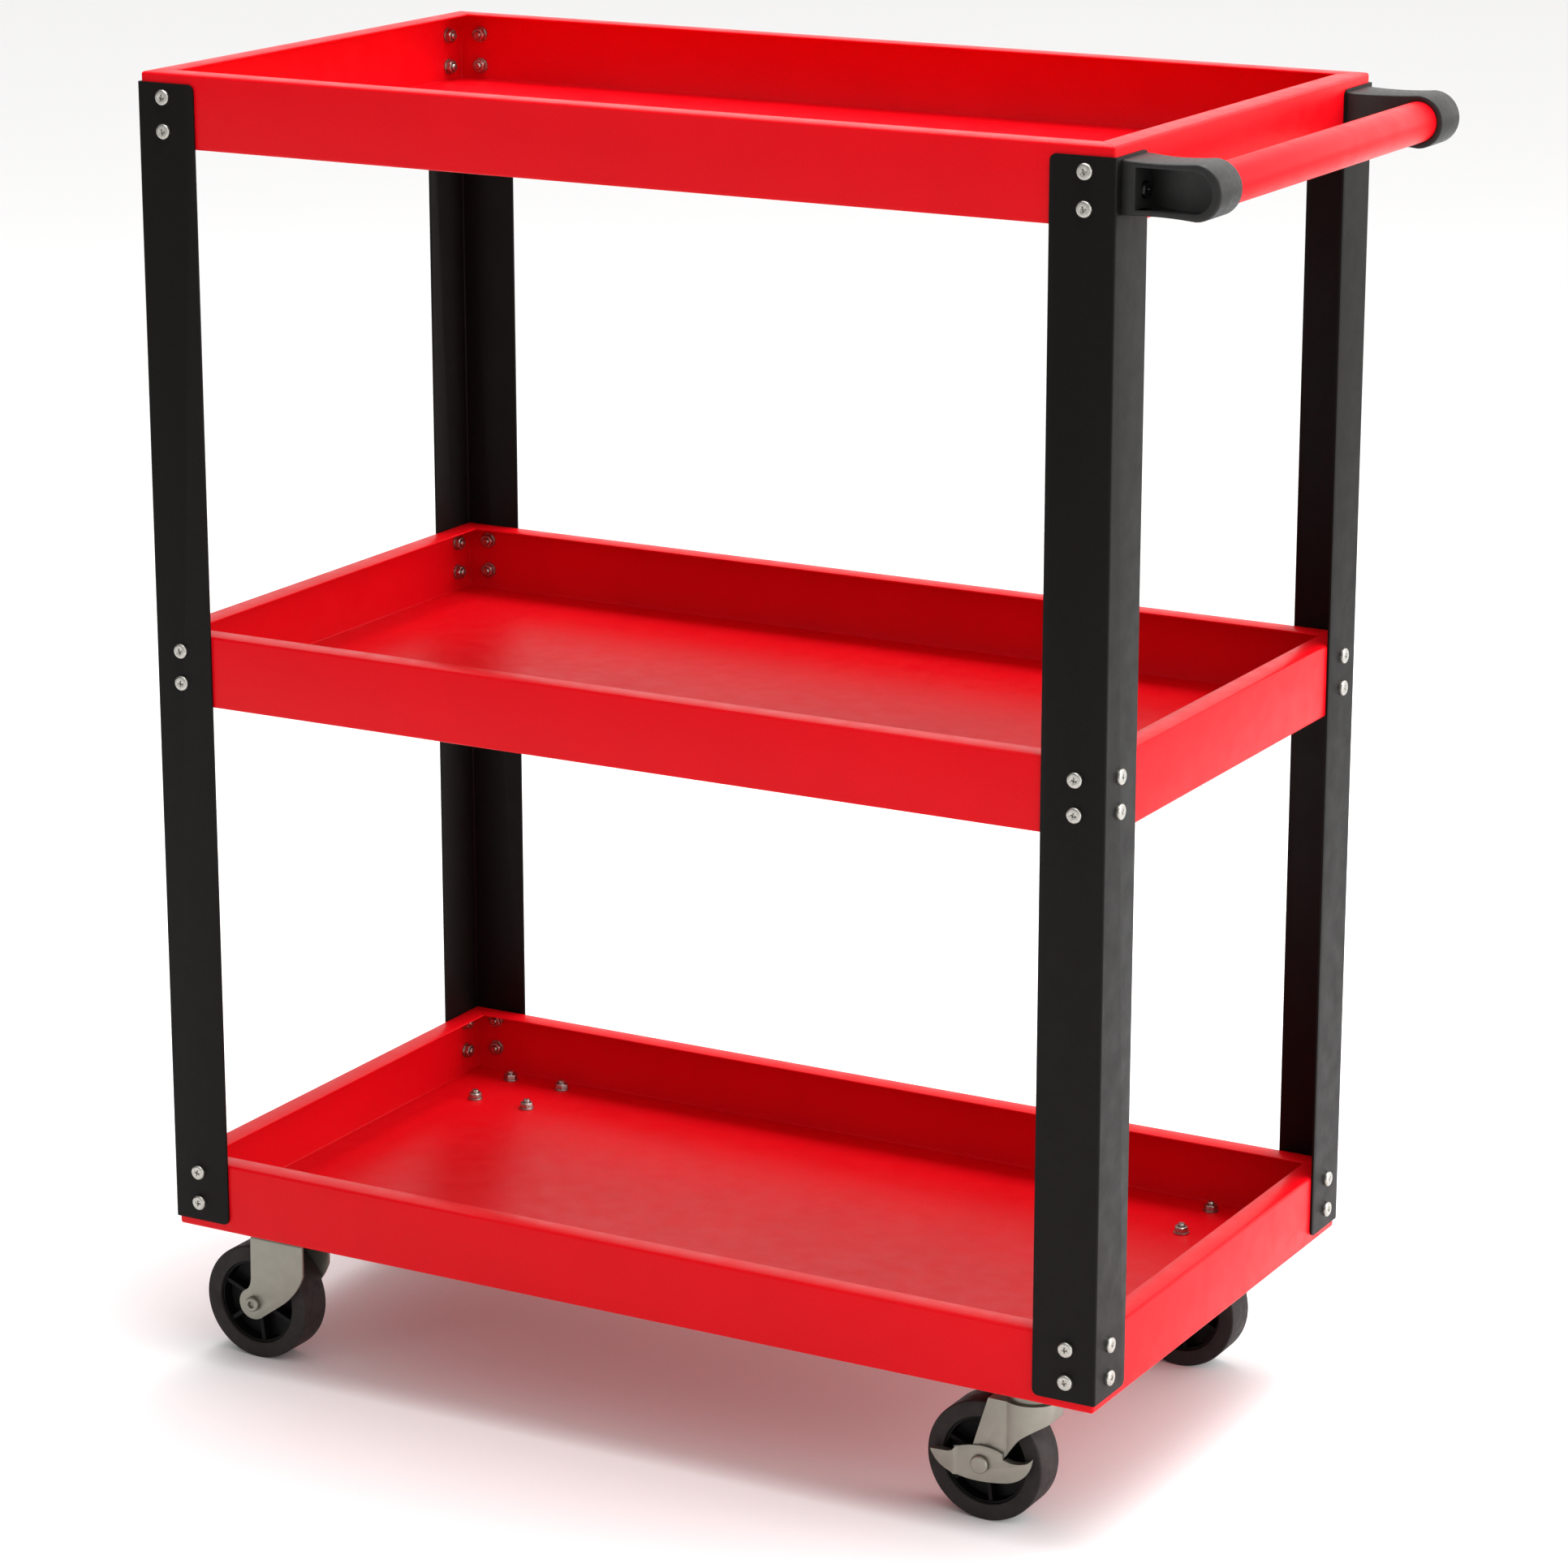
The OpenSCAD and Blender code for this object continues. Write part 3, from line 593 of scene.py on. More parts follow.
def model_tray(node, sizes):
    """A folded tray: a shallow box of sheet steel with a mitred flange turned in round its rim."""
    lo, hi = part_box(node)
    middle = (lo + hi) / 2
    size = hi - lo
    tray = add_box(node + "_sheet", lo, hi)
    edit()
    pick_facing(Z)
    bpy.ops.mesh.inset(thickness=sizes.rim)
    extrude((0, 0, -sizes.sheet))
    extrude()
    scale_about(middle, (
        (size.x - 2 * sizes.sheet) / (size.x - 2 * sizes.rim),
        (size.y - 2 * sizes.sheet) / (size.y - 2 * sizes.rim), 1,
    ))
    extrude((0, 0, 2 * sizes.sheet - size.z))
    inner_lo = lo + Vector((sizes.sheet,) * 3)
    inner_hi = hi - Vector((sizes.sheet,) * 3)
    pick("edges", lambda e: on_planes(e, lo, hi) == 2)
    round_edges(sizes.bend, 4)
    pick("edges", lambda e: on_planes(e, inner_lo, inner_hi) == 2)
    round_edges(sizes.inner_bend, 3)
    lip_x = (lo.x + sizes.rim, hi.x - sizes.rim)
    lip_y = (lo.y + sizes.rim, hi.y - sizes.rim)
    pick("edges", lambda e: any(both(e, 2, z) for z in (hi.z, inner_hi.z)) and (
        any(both(e, 0, x) for x in lip_x) or any(both(e, 1, y) for y in lip_y)))
    round_edges(sizes.lip, 2)
    press_mitre_seams(lo, hi, sizes)
    done()
    smooth(tray)
    return tray


def press_mitre_seams(lo, hi, sizes):
    """Sinks a fine groove along each corner of the rim flange, where its two strips meet."""
    def is_mitre(edge):
        a, b = ends(edge)
        run = b - a
        return both(edge, 2, hi.z) and run.length > sizes.rim and near(abs(run.x), abs(run.y), 0.1 * MM)

    def on_mitre(vert):
        x = min(vert.co.x - lo.x, hi.x - vert.co.x)
        y = min(vert.co.y - lo.y, hi.y - vert.co.y)
        return near(vert.co.z, hi.z) and near(x, y, 0.01 * MM) and sizes.bend * 0.5 < x < sizes.rim
    pick("edges", is_mitre)
    round_edges(sizes.seam, 2)
    pick("verts", on_mitre)
    bpy.ops.transform.translate(value=(0, 0, -1.6 * sizes.seam))


def model_leg(name, node, sizes):
    """The front left leg: an angle with a round bend and round free corners."""
    lo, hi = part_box(node)
    leg = add_box(name, lo, (hi.x, lo.y + sizes.leg_sheet, hi.z))
    inner = lo.x + sizes.leg_sheet
    edit()
    everything()
    bpy.ops.mesh.bisect(plane_co=(inner, 0, 0), plane_no=X)
    pick("faces", lambda f: f.normal.y > 0.9 and f.calc_center_median().x < inner)
    extrude((0, hi.y - lo.y - sizes.leg_sheet, 0))
    pick("edges", lambda e: along(e, 2) and both(e, 0, lo.x) and both(e, 1, lo.y))
    round_edges(sizes.leg_bend, 6)
    pick("edges", lambda e: along(e, 2) and both(e, 0, inner) and both(e, 1, lo.y + sizes.leg_sheet))
    round_edges(sizes.leg_bend - sizes.leg_sheet, 4)
    pick("edges", lambda e: any(both(e, 2, z) for z in (lo.z, hi.z)) and (
        along(e, 1) and both(e, 0, hi.x) or along(e, 0) and both(e, 1, hi.y)))
    round_edges(sizes.leg_corner, 6)
    done()
    soften(leg, 0.25 * MM, 2, 50)
    smooth(leg)
    return leg


# ---- Screws, washers and nuts, modelled along +Z with the joint's outer face at Z = 0 ----


def add_thread(radius, start, end, pitch):
    """A shank whose far part shows the thread as fine rings, and whose end is chamfered."""
    tip, groove, threaded = 0.78, 0.9, 0.45
    shank = add_cylinder("shank", radius, (0, 0, start), (0, 0, end), 20)
    rings = int((end - start) * threaded / pitch) * 2
    edit()
    pick_facing(Z)
    scale_about((0, 0, end), (tip, tip, 1))
    pick("edges", lambda e: abs(ends(e)[0].z - ends(e)[1].z) > 0.5 * (end - start))
    bpy.ops.mesh.subdivide(number_cuts=rings)
    bpy.ops.mesh.select_all(action="DESELECT")
    gap = (end - start) / (rings + 1)
    for ring in range(1, rings + 1):
        z = start + ring * gap
        factor = groove if ring % 2 else 1.0
        pick("verts", lambda v: near(v.co.z, z, 0.2 * gap))
        now = radius + (tip - 1) * radius * ring / (rings + 1)
        scale_about((0, 0, z), (factor * radius / now, factor * radius / now, 1))
    done()
    return shank


def model_pan_screw(name, grip, sizes):
    """A pan-head screw with a cross recess: head below Z = 0, threaded shank above it."""
    head = add_cylinder(name, sizes.head_radius, (0, 0, -sizes.head_height), (0, 0, 0), 40)
    edit()
    pick("edges", lambda e: both(e, 2, -sizes.head_height))
    round_edges(0.55 * sizes.head_height, 5)
    done()
    arm, width, depth = 2.3 * MM, 0.6 * MM, 1.5 * MM
    for turned in (False, True):
        half = Vector((width, arm, depth) if turned else (arm, width, depth))
        top = Vector((0, 0, -sizes.head_height))
        cross = add_box("cross", top - half, top + half)
        edit()
        pick_facing(Z)
        scale_about(top, (0.6, 0.6, 1))
        done()
        cut_with(head, cross)
    soften(head, 0.12 * MM, 1, 40)
    shank = add_thread(sizes.shank_radius, -0.2 * sizes.head_height, grip, sizes.thread)
    screw = joined([head, shank], name)
    smooth(screw, 40)
    return screw


def model_washer(name, sizes):
    """A flat washer with its upper edges broken."""
    washer = add_cylinder(name, sizes.washer_radius, (0, 0, 0), (0, 0, sizes.washer), 32)
    edit()
    pick("faces", lambda f: abs(f.normal.z) > 0.9)
    bpy.ops.mesh.inset(thickness=sizes.washer_radius - 1.08 * sizes.shank_radius)
    bpy.ops.mesh.bridge_edge_loops()
    done()
    soften(washer, 0.15 * MM, 2)
    smooth(washer)
    return washer


def model_nut(name, sizes):
    """A hex nut with chamfered corners."""
    flat, height = sizes.nut_flat, sizes.nut
    corner = flat / 2 / cos(pi / 6)
    nut = add_cylinder(name, corner, (0, 0, 0), (0, 0, height), 6)
    turned = add_cylinder("turned", 1.005 * corner, (0, 0, -MM), (0, 0, height), 36)
    edit()
    pick("edges", lambda e: both(e, 2, height))
    round_edges(corner - 0.96 * flat / 2, 1)
    done()
    cut_with(nut, turned, "INTERSECT")
    hole = add_cylinder("hole", sizes.shank_radius, (0, 0, -MM), (0, 0, height + MM), 24)
    cut_with(nut, hole)
    soften(nut, 0.15 * MM, 1, 25)
    smooth(nut, 25)
    return nut


def cart_corner(side_x, side_y):
    """A matrix from a corner's own axes, X and Y inward, to the cart, over the lowest tray's underside.
    For the other three corners it holds a mirror, so places are taken from it, and not shapes."""
    lo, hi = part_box("bottom_tray")
    corner = Vector((lo.x if side_x < 0 else hi.x, lo.y if side_y < 0 else hi.y, lo.z))
    return Matrix.Translation(corner) @ Matrix.Diagonal((-side_x, -side_y, 1, 1))


def pointed(place, direction, turn=0.0):
    """A matrix that puts a shape modelled along +Z at a place, along a direction, turned about it."""
    aimed = direction.to_track_quat("Z", "X").to_matrix().to_4x4()
    return Matrix.Translation(place) @ aimed @ Matrix.Rotation(turn, 4, "Z")


def tray_screw_places(sizes, leg_sheet):
    """Place and inward direction of every screw that holds a tray to a leg."""
    places = []
    for side_x in (-1, 1):
        for side_y in (-1, 1):
            corner = cart_corner(side_x, side_y)
            for level in range(3):
                for upper in (0, 1):
                    z = sizes.first + level * sizes.step + upper * sizes.pair
                    places.append((corner @ Vector((sizes.inset, -leg_sheet, z)), -side_y * Y))
                    if side_x < 0 or level < 2:
                        places.append((corner @ Vector((-leg_sheet, sizes.inset, z)), -side_x * X))
    return places


def handle_screw_places(sizes, leg_sheet):
    """Place and inward direction of the two screws that hold the handle's brackets."""
    z = sizes.first + 2 * sizes.step + sizes.pair / 2
    return [(cart_corner(1, side_y) @ Vector((-leg_sheet, sizes.inset, z)), -X) for side_y in (-1, 1)]


def caster_bolt_places(sizes):
    """Place and direction of every bolt that holds a caster."""
    places = []
    for side_x in (-1, 1):
        for side_y in (-1, 1):
            corner = cart_corner(side_x, side_y)
            for x in (-1, 1):
                for y in (-1, 1):
                    places.append((corner @ Vector((sizes.plate_inset_x + x * sizes.bolt_span_x / 2,
                                                    sizes.plate_inset_y + y * sizes.bolt_span_y / 2, 0)), Z))
    return places


def spread_copies(piece, name, places, shift=0.0, uneven=0.0):
    """Copies of a piece at each place, joined as one, each turned a little differently."""
    copies = []
    for count, (place, direction) in enumerate(places):
        turn = uneven * sin(7.0 * count)
        copies.append(placed_copy(piece, name, pointed(place + shift * direction, direction, turn)))
    remove(piece)
    return joined(copies, name)


def fasten(kind, piece, places, slot, shift=0.0, uneven=0.0):
    """Sets copies of a fastener at its places, in place of the CAD node of that name."""
    whole = spread_copies(piece, kind + "_set", places, shift, uneven)
    smooth(whole, 40)
    fit(whole, "cart", slot, kind)


# ---- Handle ----


def model_tube(sizes):
    """The handle's tube, open inside its two brackets."""
    lo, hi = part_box("handle_tube")
    middle = (lo + hi) / 2
    radius = (hi.z - lo.z) / 2
    tube = add_rod("handle_tube_bar", radius, middle, lo.y, hi.y, 72)
    edit()
    pick("faces", lambda f: abs(f.normal.y) > 0.9)
    bpy.ops.mesh.inset(thickness=sizes.tube_wall)
    bpy.ops.mesh.bridge_edge_loops()
    done()
    soften(tube, 0.2 * MM)
    smooth(tube)
    return tube


def model_bracket(sizes):
    """The front bracket: a waisted arm with a round end, a deep pocket outside and a socket inside."""
    lo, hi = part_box("front_handle_bracket")
    tube_lo, tube_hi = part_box("handle_tube")
    axis = (tube_lo + tube_hi) / 2
    radius = (tube_hi.z - tube_lo.z) / 2
    back = hi.y - sizes.root_back + sizes.back
    bracket = add_rod("front_handle_arm", sizes.end_radius, axis, lo.y, back, 72)
    keep_beyond(axis.x)
    steps = 9
    flare_start = lo.x + 20 * MM
    flare_end = lo.x + 6 * MM
    spread = sizes.root_back - sizes.back
    now = sizes.end_radius
    for step in range(1, steps + 1):
        share = step / steps
        x = axis.x + (lo.x - axis.x) * share
        half = (1 - share) ** 2 * sizes.end_radius + share ** 2 * sizes.root
        half += 2 * share * (1 - share) * (2 * sizes.waist - (sizes.end_radius + sizes.root) / 2)
        extrude(((lo.x - axis.x) / steps, 0, 0))
        scale_about((x, axis.y, axis.z), (1, 1, half / now))
        now = half
    for step in range(1, steps + 1):
        x = axis.x + (lo.x - axis.x) * step / steps
        share = (flare_start - x) / (flare_start - flare_end)
        if share > 0:
            pick("verts", lambda v: near(v.co.x, x) and near(v.co.y, back))
            bpy.ops.transform.translate(value=(0, min(share, 1) * spread, 0))
    pick("edges", lambda e: both(e, 1, lo.y) and not both(e, 0, lo.x) and len(e.link_faces) == 2
         and any(abs(f.normal.y) < 0.5 for f in e.link_faces))
    round_edges(sizes.edge, 4)
    pick("edges", lambda e: min(p.y for p in ends(e)) > back - TINY
         and max(p.x for p in ends(e)) > lo.x + TINY
         and any(f.normal.y > 0.9 for f in e.link_faces)
         and any(abs(f.normal.y) < 0.5 for f in e.link_faces))
    round_edges(0.6 * sizes.edge, 3)
    done()
    pocket_x = lo.x + sizes.wall
    pocket_end = axis.x - sizes.pocket_end
    floor = lo.y + sizes.shallow
    outside = lo.y - MM
    stadium_ends = (pocket_end, outside, axis.z), (pocket_end, floor, axis.z)
    stadium = add_cylinder("stadium", sizes.pocket, *stadium_ends, 64)
    keep_beyond(pocket_end)
    extrude((pocket_x - pocket_end, 0, 0))
    done()
    cut_with(bracket, stadium)
    deep = add_box("deep", (pocket_x, outside, axis.z - sizes.pocket),
                   (pocket_x + sizes.ramp, lo.y + sizes.deep, axis.z + sizes.pocket))
    edit()
    pick("verts", lambda v: v.co.y > floor and v.co.x > pocket_x + TINY)
    bpy.ops.transform.translate(value=(0, sizes.shallow - sizes.deep, 0))
    done()
    cut_with(bracket, deep)
    socket = add_rod("socket", radius + sizes.gap, axis, tube_lo.y - sizes.gap, back + MM, 72)
    cut_with(bracket, socket)
    soften(bracket, 0.5 * MM, 2, 40)
    smooth(bracket)
    return bracket


# ---- Wheels ----


def model_tyre(name, node, sizes):
    """A tyre with round shoulders, spun from its section."""
    lo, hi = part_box(node)
    middle = (lo + hi) / 2
    radius = (hi.z - lo.z) / 2
    thick = radius - sizes.tyre_bore
    bpy.ops.object.select_all(action="DESELECT")
    bpy.ops.mesh.primitive_plane_add(size=1, location=middle + (sizes.tyre_bore + thick / 2) * X)
    bpy.context.object.scale = (thick, hi.y - lo.y, 1)
    tyre = settle(name)
    edit()
    pick("verts", lambda v: v.co.x > middle.x + radius - TINY)
    bpy.ops.mesh.bevel(offset=sizes.tyre_round, segments=6, affect="VERTICES")
    pick("verts", lambda v: v.co.x < middle.x + sizes.tyre_bore + TINY)
    bpy.ops.mesh.bevel(offset=sizes.tyre_lip, segments=3, affect="VERTICES")
    everything()
    bpy.ops.mesh.delete(type="ONLY_FACE")
    everything()
    bpy.ops.mesh.spin(steps=96, angle=2 * pi, center=middle, axis=Y)
    everything()
    bpy.ops.mesh.remove_doubles(threshold=0.01 * MM)
    bpy.ops.mesh.normals_make_consistent(inside=False)
    done()
    smooth(tyre)
    return tyre


def model_hub(name, node, sizes):
    """A wheel's core: ring, web, boss and spokes on both sides."""
    lo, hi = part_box(node)
    middle = (lo + hi) / 2
    radius = (hi.z - lo.z) / 2
    half = sizes.hub_half
    hub = add_cylinder(name, radius, middle - half * Y, middle + half * Y, 72)
    edit()
    for side in (-1, 1):
        pick_facing(side * Y)
        bpy.ops.mesh.inset(thickness=sizes.rim)
        extrude((0, side * (sizes.web / 2 - half), 0))
        bpy.ops.mesh.inset(thickness=radius - sizes.rim - sizes.boss)
        extrude((0, hi.y - middle.y - sizes.web / 2 if side > 0 else lo.y - middle.y + sizes.web / 2, 0))
        bpy.ops.mesh.inset(thickness=sizes.boss - sizes.bore)
    pick("faces", lambda f: near(abs(f.calc_center_median().y - middle.y), hi.y - middle.y)
         and (f.calc_center_median() - middle).cross(Y).length < 0.1 * MM)
    bpy.ops.mesh.bridge_edge_loops()
    done()
    inner, outer = sizes.boss - MM, radius - sizes.rim + 0.8 * MM
    for count in range(sizes.spokes):
        angle = sizes.spoke_start + count * 2 * pi / sizes.spokes
        bar = add_box("bar", (inner, MM - half, -sizes.spoke / 2), (outer, half - MM, sizes.spoke / 2))
        bar.matrix_world = Matrix.Translation(middle) @ Matrix.Rotation(-angle, 4, "Y")
        one(bar)
        bake_place()
        cut_with(hub, bar, "UNION")
    soften(hub, 0.35 * MM, 2, 40)
    smooth(hub)
    return hub


def add_rivet_heads(rivet, middle, ends_y, radius, grow, height, rounding):
    """Turns each end of a shank along Y into a round head and leaves both heads' faces selected."""
    edit()
    for side, place in zip((-1, 1), ends_y):
        pick("faces", lambda f: f.normal.y * side > 0.9 and near(f.calc_center_median().y, place))
        extrude()
        scale_about((middle.x, place, middle.z), (grow, 1, grow))
        extrude((0, side * height, 0))
    tips = (ends_y[0] - height, ends_y[1] + height)
    pick("edges", lambda e: both(e, 1, tips[0]) or both(e, 1, tips[1]))
    round_edges(rounding, 5)
    pick("faces", lambda f: any(near(f.calc_center_median().y, tip) for tip in tips))


def model_hollow_axle(name, node, sizes):
    """A rivet across the fixed fork, with a round head and a blind hole at each end."""
    lo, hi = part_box(node)
    middle = (lo + hi) / 2
    radius = (hi.z - lo.z) / 2
    fork_lo, fork_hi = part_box("front_left_fork")
    start, end = fork_lo.y, fork_hi.y
    axle = add_rod(name, sizes.shank, middle, start, end, 48)
    add_rivet_heads(axle, middle, (start, end), radius, radius / sizes.shank, hi.y - end, sizes.head_round)
    bpy.ops.mesh.inset(thickness=radius - sizes.head_round - sizes.hollow)
    for side in (-1, 1):
        pick("faces", lambda f: near(f.calc_center_median().y, hi.y if side > 0 else lo.y)
             and (f.calc_center_median() - middle).cross(Y).length < TINY)
        extrude((0, -side * sizes.hollow_deep, 0))
    done()
    soften(axle, 0.15 * MM, 2, 50)
    smooth(axle, 40)
    return axle


def model_brake_axle(name, node, sizes):
    """A solid rivet with low round heads, through the swivel fork and the brake lever."""
    lo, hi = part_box(node)
    middle = (lo + hi) / 2
    radius = (hi.z - lo.z) / 2
    start, end = lo.y + sizes.head, hi.y - sizes.head
    axle = add_rod(name, sizes.shank, middle, start, end, 48)
    add_rivet_heads(axle, middle, (start, end), radius, radius / sizes.shank, sizes.head, sizes.head_round)
    done()
    smooth(axle, 40)
    return axle


# ---- Pressed steel parts of the casters ----


def bend_edges(piece, width, test, segments=5):
    """Gives the pressed bends among a piece's edges their radius."""
    one(piece)
    edit()
    if pick("edges", test):
        round_edges(width, segments)
    done()


def model_fixed_fork(name, node, sizes):
    """A fixed caster's fork: a channel of pressed steel."""
    lo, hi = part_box(node)
    fork = worked_copy(node, name)
    bend_edges(fork, sizes.bend, lambda e: both(e, 2, hi.z) and (both(e, 1, lo.y) or both(e, 1, hi.y)))
    soften(fork, sizes.edge, 2, 40)
    smooth(fork)
    return fork


def model_swivel_fork(name, node, sizes):
    """A swivel caster's fork: a ball race on a round house that runs down into two cheeks."""
    lo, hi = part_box(node)
    shoulder = hi.z - sizes.race
    plate_lo, plate_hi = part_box("front_right_plate")
    centre = (plate_lo + plate_hi) / 2
    house = (hi.y - lo.y) / 2
    cheek_lo, cheek_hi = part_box("front_left_fork")
    cheek = (cheek_hi.y - cheek_lo.y) / 2

    def from_axis(point):
        return hypot(point.x - centre.x, point.y - centre.y)

    def is_race(edge, z):
        return both(edge, 2, z) and all(near(from_axis(p), sizes.race_radius, 0.1 * MM) for p in ends(edge))

    def is_crease(edge):
        return along(edge, 2) and all(
            near(from_axis(p), house, 0.1 * MM) and near(abs(p.y - centre.y), cheek, 0.1 * MM)
            and p.x < centre.x for p in ends(edge))
    fork = worked_copy(node, name)
    bend_edges(fork, sizes.bend, lambda e: both(e, 2, shoulder) and not along(e, 1)
               and all(from_axis(p) > sizes.race_radius + MM for p in ends(e)))
    bend_edges(fork, sizes.race_round, lambda e: is_race(e, hi.z) or is_race(e, shoulder), 3)
    bend_edges(fork, sizes.crease, is_crease, 3)
    soften(fork, sizes.edge, 2, 40)
    smooth(fork)
    return fork


def model_lever(name, node, sizes):
    """A brake lever: a pressed blade with a joggle and two tabs turned in over the tyre."""
    lo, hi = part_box(node)
    axle_lo, axle_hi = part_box("front_right_axle")
    joggle = (axle_lo.x + axle_hi.x) / 2 - sizes.joggle_at
    lever = worked_copy(node, name)
    edit()
    pick("verts", lambda v: near(v.co.x, joggle, 0.05 * MM) and v.co.y < lo.y + 0.1 * MM)
    bpy.ops.transform.translate(value=(-sizes.joggle, 0, 0))
    done()
    soften(lever, sizes.edge, 2, 15)
    smooth(lever)
    return lever


def model_pressed(name, node, sizes):
    """A plate or pin with its edges broken."""
    piece = worked_copy(node, name)
    soften(piece, sizes.edge, 2, 40)
    smooth(piece)
    return piece


# ---- Operators ----


class CartOperator:
    """What the cart's operators share."""

    bl_options = {"REGISTER", "UNDO"}

    def execute(self, context):
        self.build(context.scene)
        return {"FINISHED"}


class CART_OT_trays(CartOperator, bpy.types.Operator):
    """Model the three folded trays"""

    bl_idname = "cart.trays"
    bl_label = "Trays"

    def build(self, scene):
        for node in TRAYS:
            tray = model_tray(node, scene.cart_sheet)
            fit(tray, "cart", "red_powder_coat", node)


class CART_OT_legs(CartOperator, bpy.types.Operator):
    """Model the four angle legs"""

    bl_idname = "cart.legs"
    bl_label = "Legs"

    def build(self, scene):
        lo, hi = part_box("bottom_tray")
        middle = (lo + hi) / 2
        front_left = model_leg("front_left_angle", "front_left_leg", scene.cart_sheet)
        rear_left = mirrored_copy(front_left, "rear_left_angle", Y, middle.y)
        front_right = mirrored_copy(front_left, "front_right_angle", X, middle.x)
        rear_right = mirrored_copy(rear_left, "rear_right_angle", X, middle.x)
        for leg in (front_left, rear_left, front_right, rear_right):
            node = leg.name.replace("angle", "leg")
            fit(leg, "cart", "black_powder_coat", node)


class CART_OT_fasteners(CartOperator, bpy.types.Operator):
    """Model the screws, bolts, washers and nuts, and set them at their places"""

    bl_idname = "cart.fasteners"
    bl_label = "Screws, washers and nuts"

    def build(self, scene):
        sizes, sheets, handle = scene.cart_fasteners, scene.cart_sheet, scene.cart_handle
        steel, black = "fastener_steel", "black_screw_finish"
        walls = sheets.leg_sheet + sheets.sheet
        held = walls + sizes.washer + sizes.nut + sizes.stub
        trays = tray_screw_places(sizes, sheets.leg_sheet)
        brackets = handle_screw_places(sizes, sheets.leg_sheet)
        bolts = caster_bolt_places(sizes)
        fasten("tray_screws", model_pan_screw("screw", held, sizes), trays, steel, uneven=0.25)
        longer = model_pan_screw("screw", handle.wall + held, sizes)
        fasten("handle_screws", longer, brackets, black, -handle.wall)
        stacks = ("tray", trays, walls), ("handle", brackets, walls), ("caster", bolts, sheets.sheet)
        for kind, places, wall in stacks:
            fasten(kind + "_washers", model_washer("washer", sizes), places, steel, wall)
            fasten(kind + "_nuts", model_nut("nut", sizes), places, steel, wall + sizes.washer, 0.5)
        through = sizes.plate + sheets.sheet + sizes.washer + sizes.nut + sizes.bolt_stub
        fasten("caster_bolts", model_pan_screw("bolt", through, sizes), bolts, steel, -sizes.plate, 0.5)


class CART_OT_handle(CartOperator, bpy.types.Operator):
    """Model the push handle: its tube and the two end brackets"""

    bl_idname = "cart.handle"
    bl_label = "Handle"

    def build(self, scene):
        tube = model_tube(scene.cart_handle)
        fit(tube, "cart", "red_powder_coat", "handle_tube")
        front = model_bracket(scene.cart_handle)
        rear = mirrored_copy(front, "rear_handle_arm", Y)
        for arm, node in ((front, "front_handle_bracket"), (rear, "rear_handle_bracket")):
            fit(arm, "cart", "bracket_plastic", node)


class CART_OT_wheels(CartOperator, bpy.types.Operator):
    """Model the four wheels: hub and tyre"""

    bl_idname = "cart.wheels"
    bl_label = "Wheels"

    def build(self, scene):
        first = "front_left"
        here = sum(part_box(first + "_tyre"), Vector()) / 2
        tyre = model_tyre(first + "_wheel_tyre", first + "_tyre", scene.cart_wheels)
        hub = model_hub(first + "_wheel_hub", first + "_hub", scene.cart_wheels)
        for corner in (first, "rear_left", "front_right", "rear_right"):
            there = sum(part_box(corner + "_tyre"), Vector()) / 2
            shift = Matrix.Translation(there - here)
            for kind, piece, slot in (("tyre", tyre, "tyre_rubber"), ("hub", hub, "wheel_core_plastic")):
                copy = piece if corner == first else placed_copy(piece, f"{corner}_wheel_{kind}", shift)
                fit(copy, corner + "_wheel", slot, f"{corner}_{kind}")


def fit_pair(front, body, slot, node):
    """Fits a front caster's piece and its mirror image at the rear."""
    rear = mirrored_copy(front, front.name.replace("front", "rear"), Y)
    smooth(rear)
    fit(front, body, slot, node)
    fit(rear, body.replace("front", "rear"), slot, node.replace("front", "rear"))


class CART_OT_fixed_casters(CartOperator, bpy.types.Operator):
    """Model the fixed casters' forks, plates, rivets and axles"""

    bl_idname = "cart.fixed_casters"
    bl_label = "Fixed casters"

    def build(self, scene):
        sizes, zinc = scene.cart_casters, "zinc_plated_steel"
        for kind, node, make, slot in (
            ("fork", "front_left_fork", model_fixed_fork, zinc),
            ("plate", "front_left_plate", model_pressed, zinc),
            ("rivet", "front_left_rivet", model_pressed, "fastener_steel"),
            ("axle", "front_left_axle", model_hollow_axle, zinc),
        ):
            fit_pair(make("front_left_caster_" + kind, node, sizes), "cart", slot, node)


class CART_OT_swivel_casters(CartOperator, bpy.types.Operator):
    """Model the swivel casters' forks, plates, pins, axles and brake levers"""

    bl_idname = "cart.swivel_casters"
    bl_label = "Swivel casters"

    def build(self, scene):
        sizes, zinc = scene.cart_casters, "zinc_plated_steel"
        for kind, node, make, body, slot in (
            ("fork", "front_right_fork", model_swivel_fork, "front_right_swivel", zinc),
            ("plate", "front_right_plate", model_pressed, "cart", zinc),
            ("pin", "front_right_kingpin", model_pressed, "cart", "fastener_steel"),
            ("axle", "front_right_axle", model_brake_axle, "front_right_swivel", zinc),
            ("lever", "front_right_brake_lever", model_lever, "front_right_brake", zinc),
        ):
            fit_pair(make("front_right_caster_" + kind, node, sizes), body, slot, node)


class CART_OT_inner_parts(CartOperator, bpy.types.Operator):
    """Give the parts that stay as designed, such as sleeves and balls, their finish"""

    bl_idname = "cart.inner_parts"
    bl_label = "Inner parts"

    def build(self, scene):
        slots = {part["node"]: part["material_slot"] for part in frame["record"]["subparts"]}
        for node, piece in frame["nodes"].items():
            if not piece.hide_render:
                piece.data.materials.clear()
                piece.data.materials.append(finish(slots[node]))


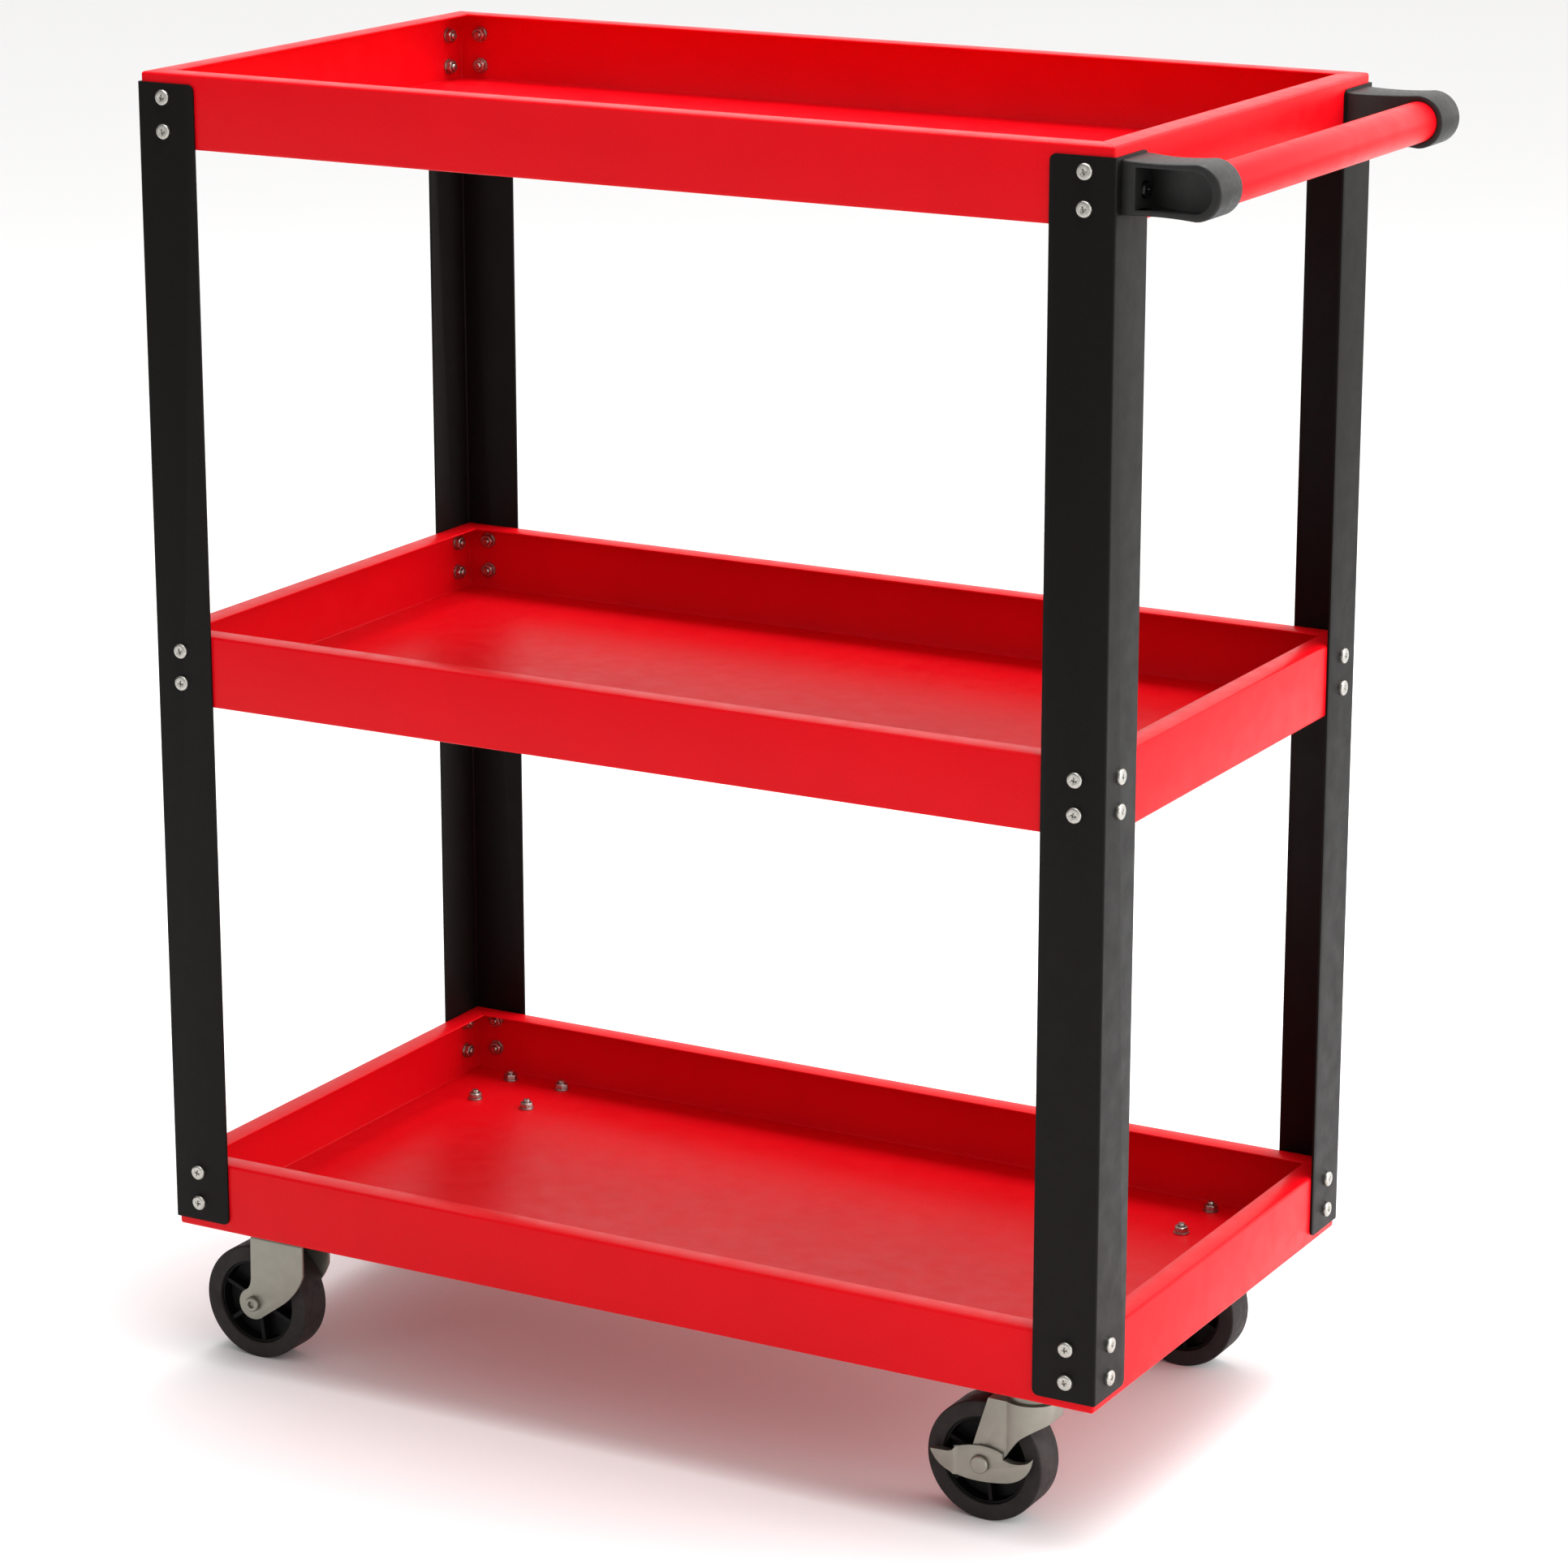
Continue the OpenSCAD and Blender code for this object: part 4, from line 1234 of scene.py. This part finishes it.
class CART_OT_stage(CartOperator, bpy.types.Operator):
    """Set up the floor, the studio light and the camera"""

    bl_idname = "cart.stage"
    bl_label = "Stage"

    def build(self, scene):
        bpy.ops.object.select_all(action="DESELECT")
        bpy.ops.mesh.primitive_plane_add(size=60, location=(0, 0, 0))
        floor = settle("studio_floor")
        floor.data.materials.append(finish("floor_paint"))
        light_sky(scene, Vector((0.84, 0.54, 0)), 0.05, 2.25)
        add_softbox("key_softbox", (3.2, 0.6, 1.0), 1.8, 50)
        add_softbox("top_softbox", (0.2, 0.3, 3.0), 2.4, 130)
        add_softbox("fill_softbox", (-1.6, -2.7, 1.3), 0.9, 4)
        add_camera(scene)
        scene.view_settings.view_transform = "Standard"


def light_sky(scene, towards, dim, bright):
    """A pale surround that grows from dim to bright towards a level direction."""
    world = bpy.data.worlds.new("studio")
    scene.world = world
    world.use_nodes = True
    nodes, links = world.node_tree.nodes, world.node_tree.links
    direction = nodes.new("ShaderNodeTexCoord")
    lean = nodes.new("ShaderNodeVectorMath")
    lean.operation = "DOT_PRODUCT"
    lean.inputs[1].default_value = towards
    ramp = nodes.new("ShaderNodeMapRange")
    ramp.inputs["From Min"].default_value = -1.0
    ramp.inputs["From Max"].default_value = 1.0
    ramp.inputs["To Min"].default_value = dim
    ramp.inputs["To Max"].default_value = bright
    links.new(direction.outputs["Generated"], lean.inputs[0])
    links.new(lean.outputs["Value"], ramp.inputs["Value"])
    links.new(ramp.outputs["Result"], nodes["Background"].inputs["Strength"])
    nodes["Background"].inputs["Color"].default_value = (1.0, 0.99, 0.98, 1.0)


def add_softbox(name, place, size, power):
    """A square soft light that faces the middle of the cart."""
    aim = (CAD_BOX[0] + CAD_BOX[1]) / 2 - Vector(place)
    bpy.ops.object.light_add(type="AREA", location=place, rotation=aim.to_track_quat("-Z", "Y").to_euler())
    light = bpy.context.object
    light.name = name
    light.data.size = size
    light.data.energy = power
    light.visible_camera = False


def add_camera(scene):
    """A camera at the front right, a little above the top tray."""
    azimuth, elevation, distance = radians(29.126), radians(15.568), 3.030
    aim = Vector((-0.0031, -0.0088, 0.3877))
    back = Vector((sin(azimuth) * cos(elevation), -cos(azimuth) * cos(elevation), sin(elevation)))
    facing = (-back).to_track_quat("-Z", "Y").to_euler()
    bpy.ops.object.camera_add(location=aim + distance * back, rotation=facing)
    camera = bpy.context.object
    camera.name = "studio_camera"
    camera.data.lens = 113.508
    camera.data.sensor_width = 36
    camera.data.clip_end = 200
    scene.camera = camera


OPERATORS = (
    CART_OT_trays, CART_OT_legs, CART_OT_fasteners, CART_OT_handle, CART_OT_wheels,
    CART_OT_fixed_casters, CART_OT_swivel_casters, CART_OT_inner_parts, CART_OT_stage,
)
GROUPS = {
    "cart_sheet": CartSheetSizes,
    "cart_fasteners": CartFastenerSizes,
    "cart_handle": CartHandleSizes,
    "cart_wheels": CartWheelSizes,
    "cart_casters": CartCasterSizes,
    "cart_colours": CartColours,
}


class CART_PT_panel(bpy.types.Panel):
    """Lists the cart's operators in the sidebar."""

    bl_idname = "CART_PT_panel"
    bl_label = "Tool cart"
    bl_space_type = "VIEW_3D"
    bl_region_type = "UI"
    bl_category = "Tool cart"

    def draw(self, context):
        for operator in OPERATORS:
            self.layout.operator(operator.bl_idname)


def register():
    for cls in (*GROUPS.values(), *OPERATORS, CART_PT_panel):
        bpy.utils.register_class(cls)
    for name, group in GROUPS.items():
        setattr(bpy.types.Scene, name, PointerProperty(type=group))


def unregister():
    for name in GROUPS:
        delattr(bpy.types.Scene, name)
    for cls in (CART_PT_panel, *reversed(OPERATORS), *GROUPS.values()):
        bpy.utils.unregister_class(cls)


def main():
    register()
    bpy.ops.cart.trays()
    bpy.ops.cart.legs()
    bpy.ops.cart.fasteners()
    bpy.ops.cart.handle()
    bpy.ops.cart.wheels()
    bpy.ops.cart.fixed_casters()
    bpy.ops.cart.swivel_casters()
    bpy.ops.cart.inner_parts()
    bpy.ops.cart.stage()


if __name__ == "__main__":
    main()
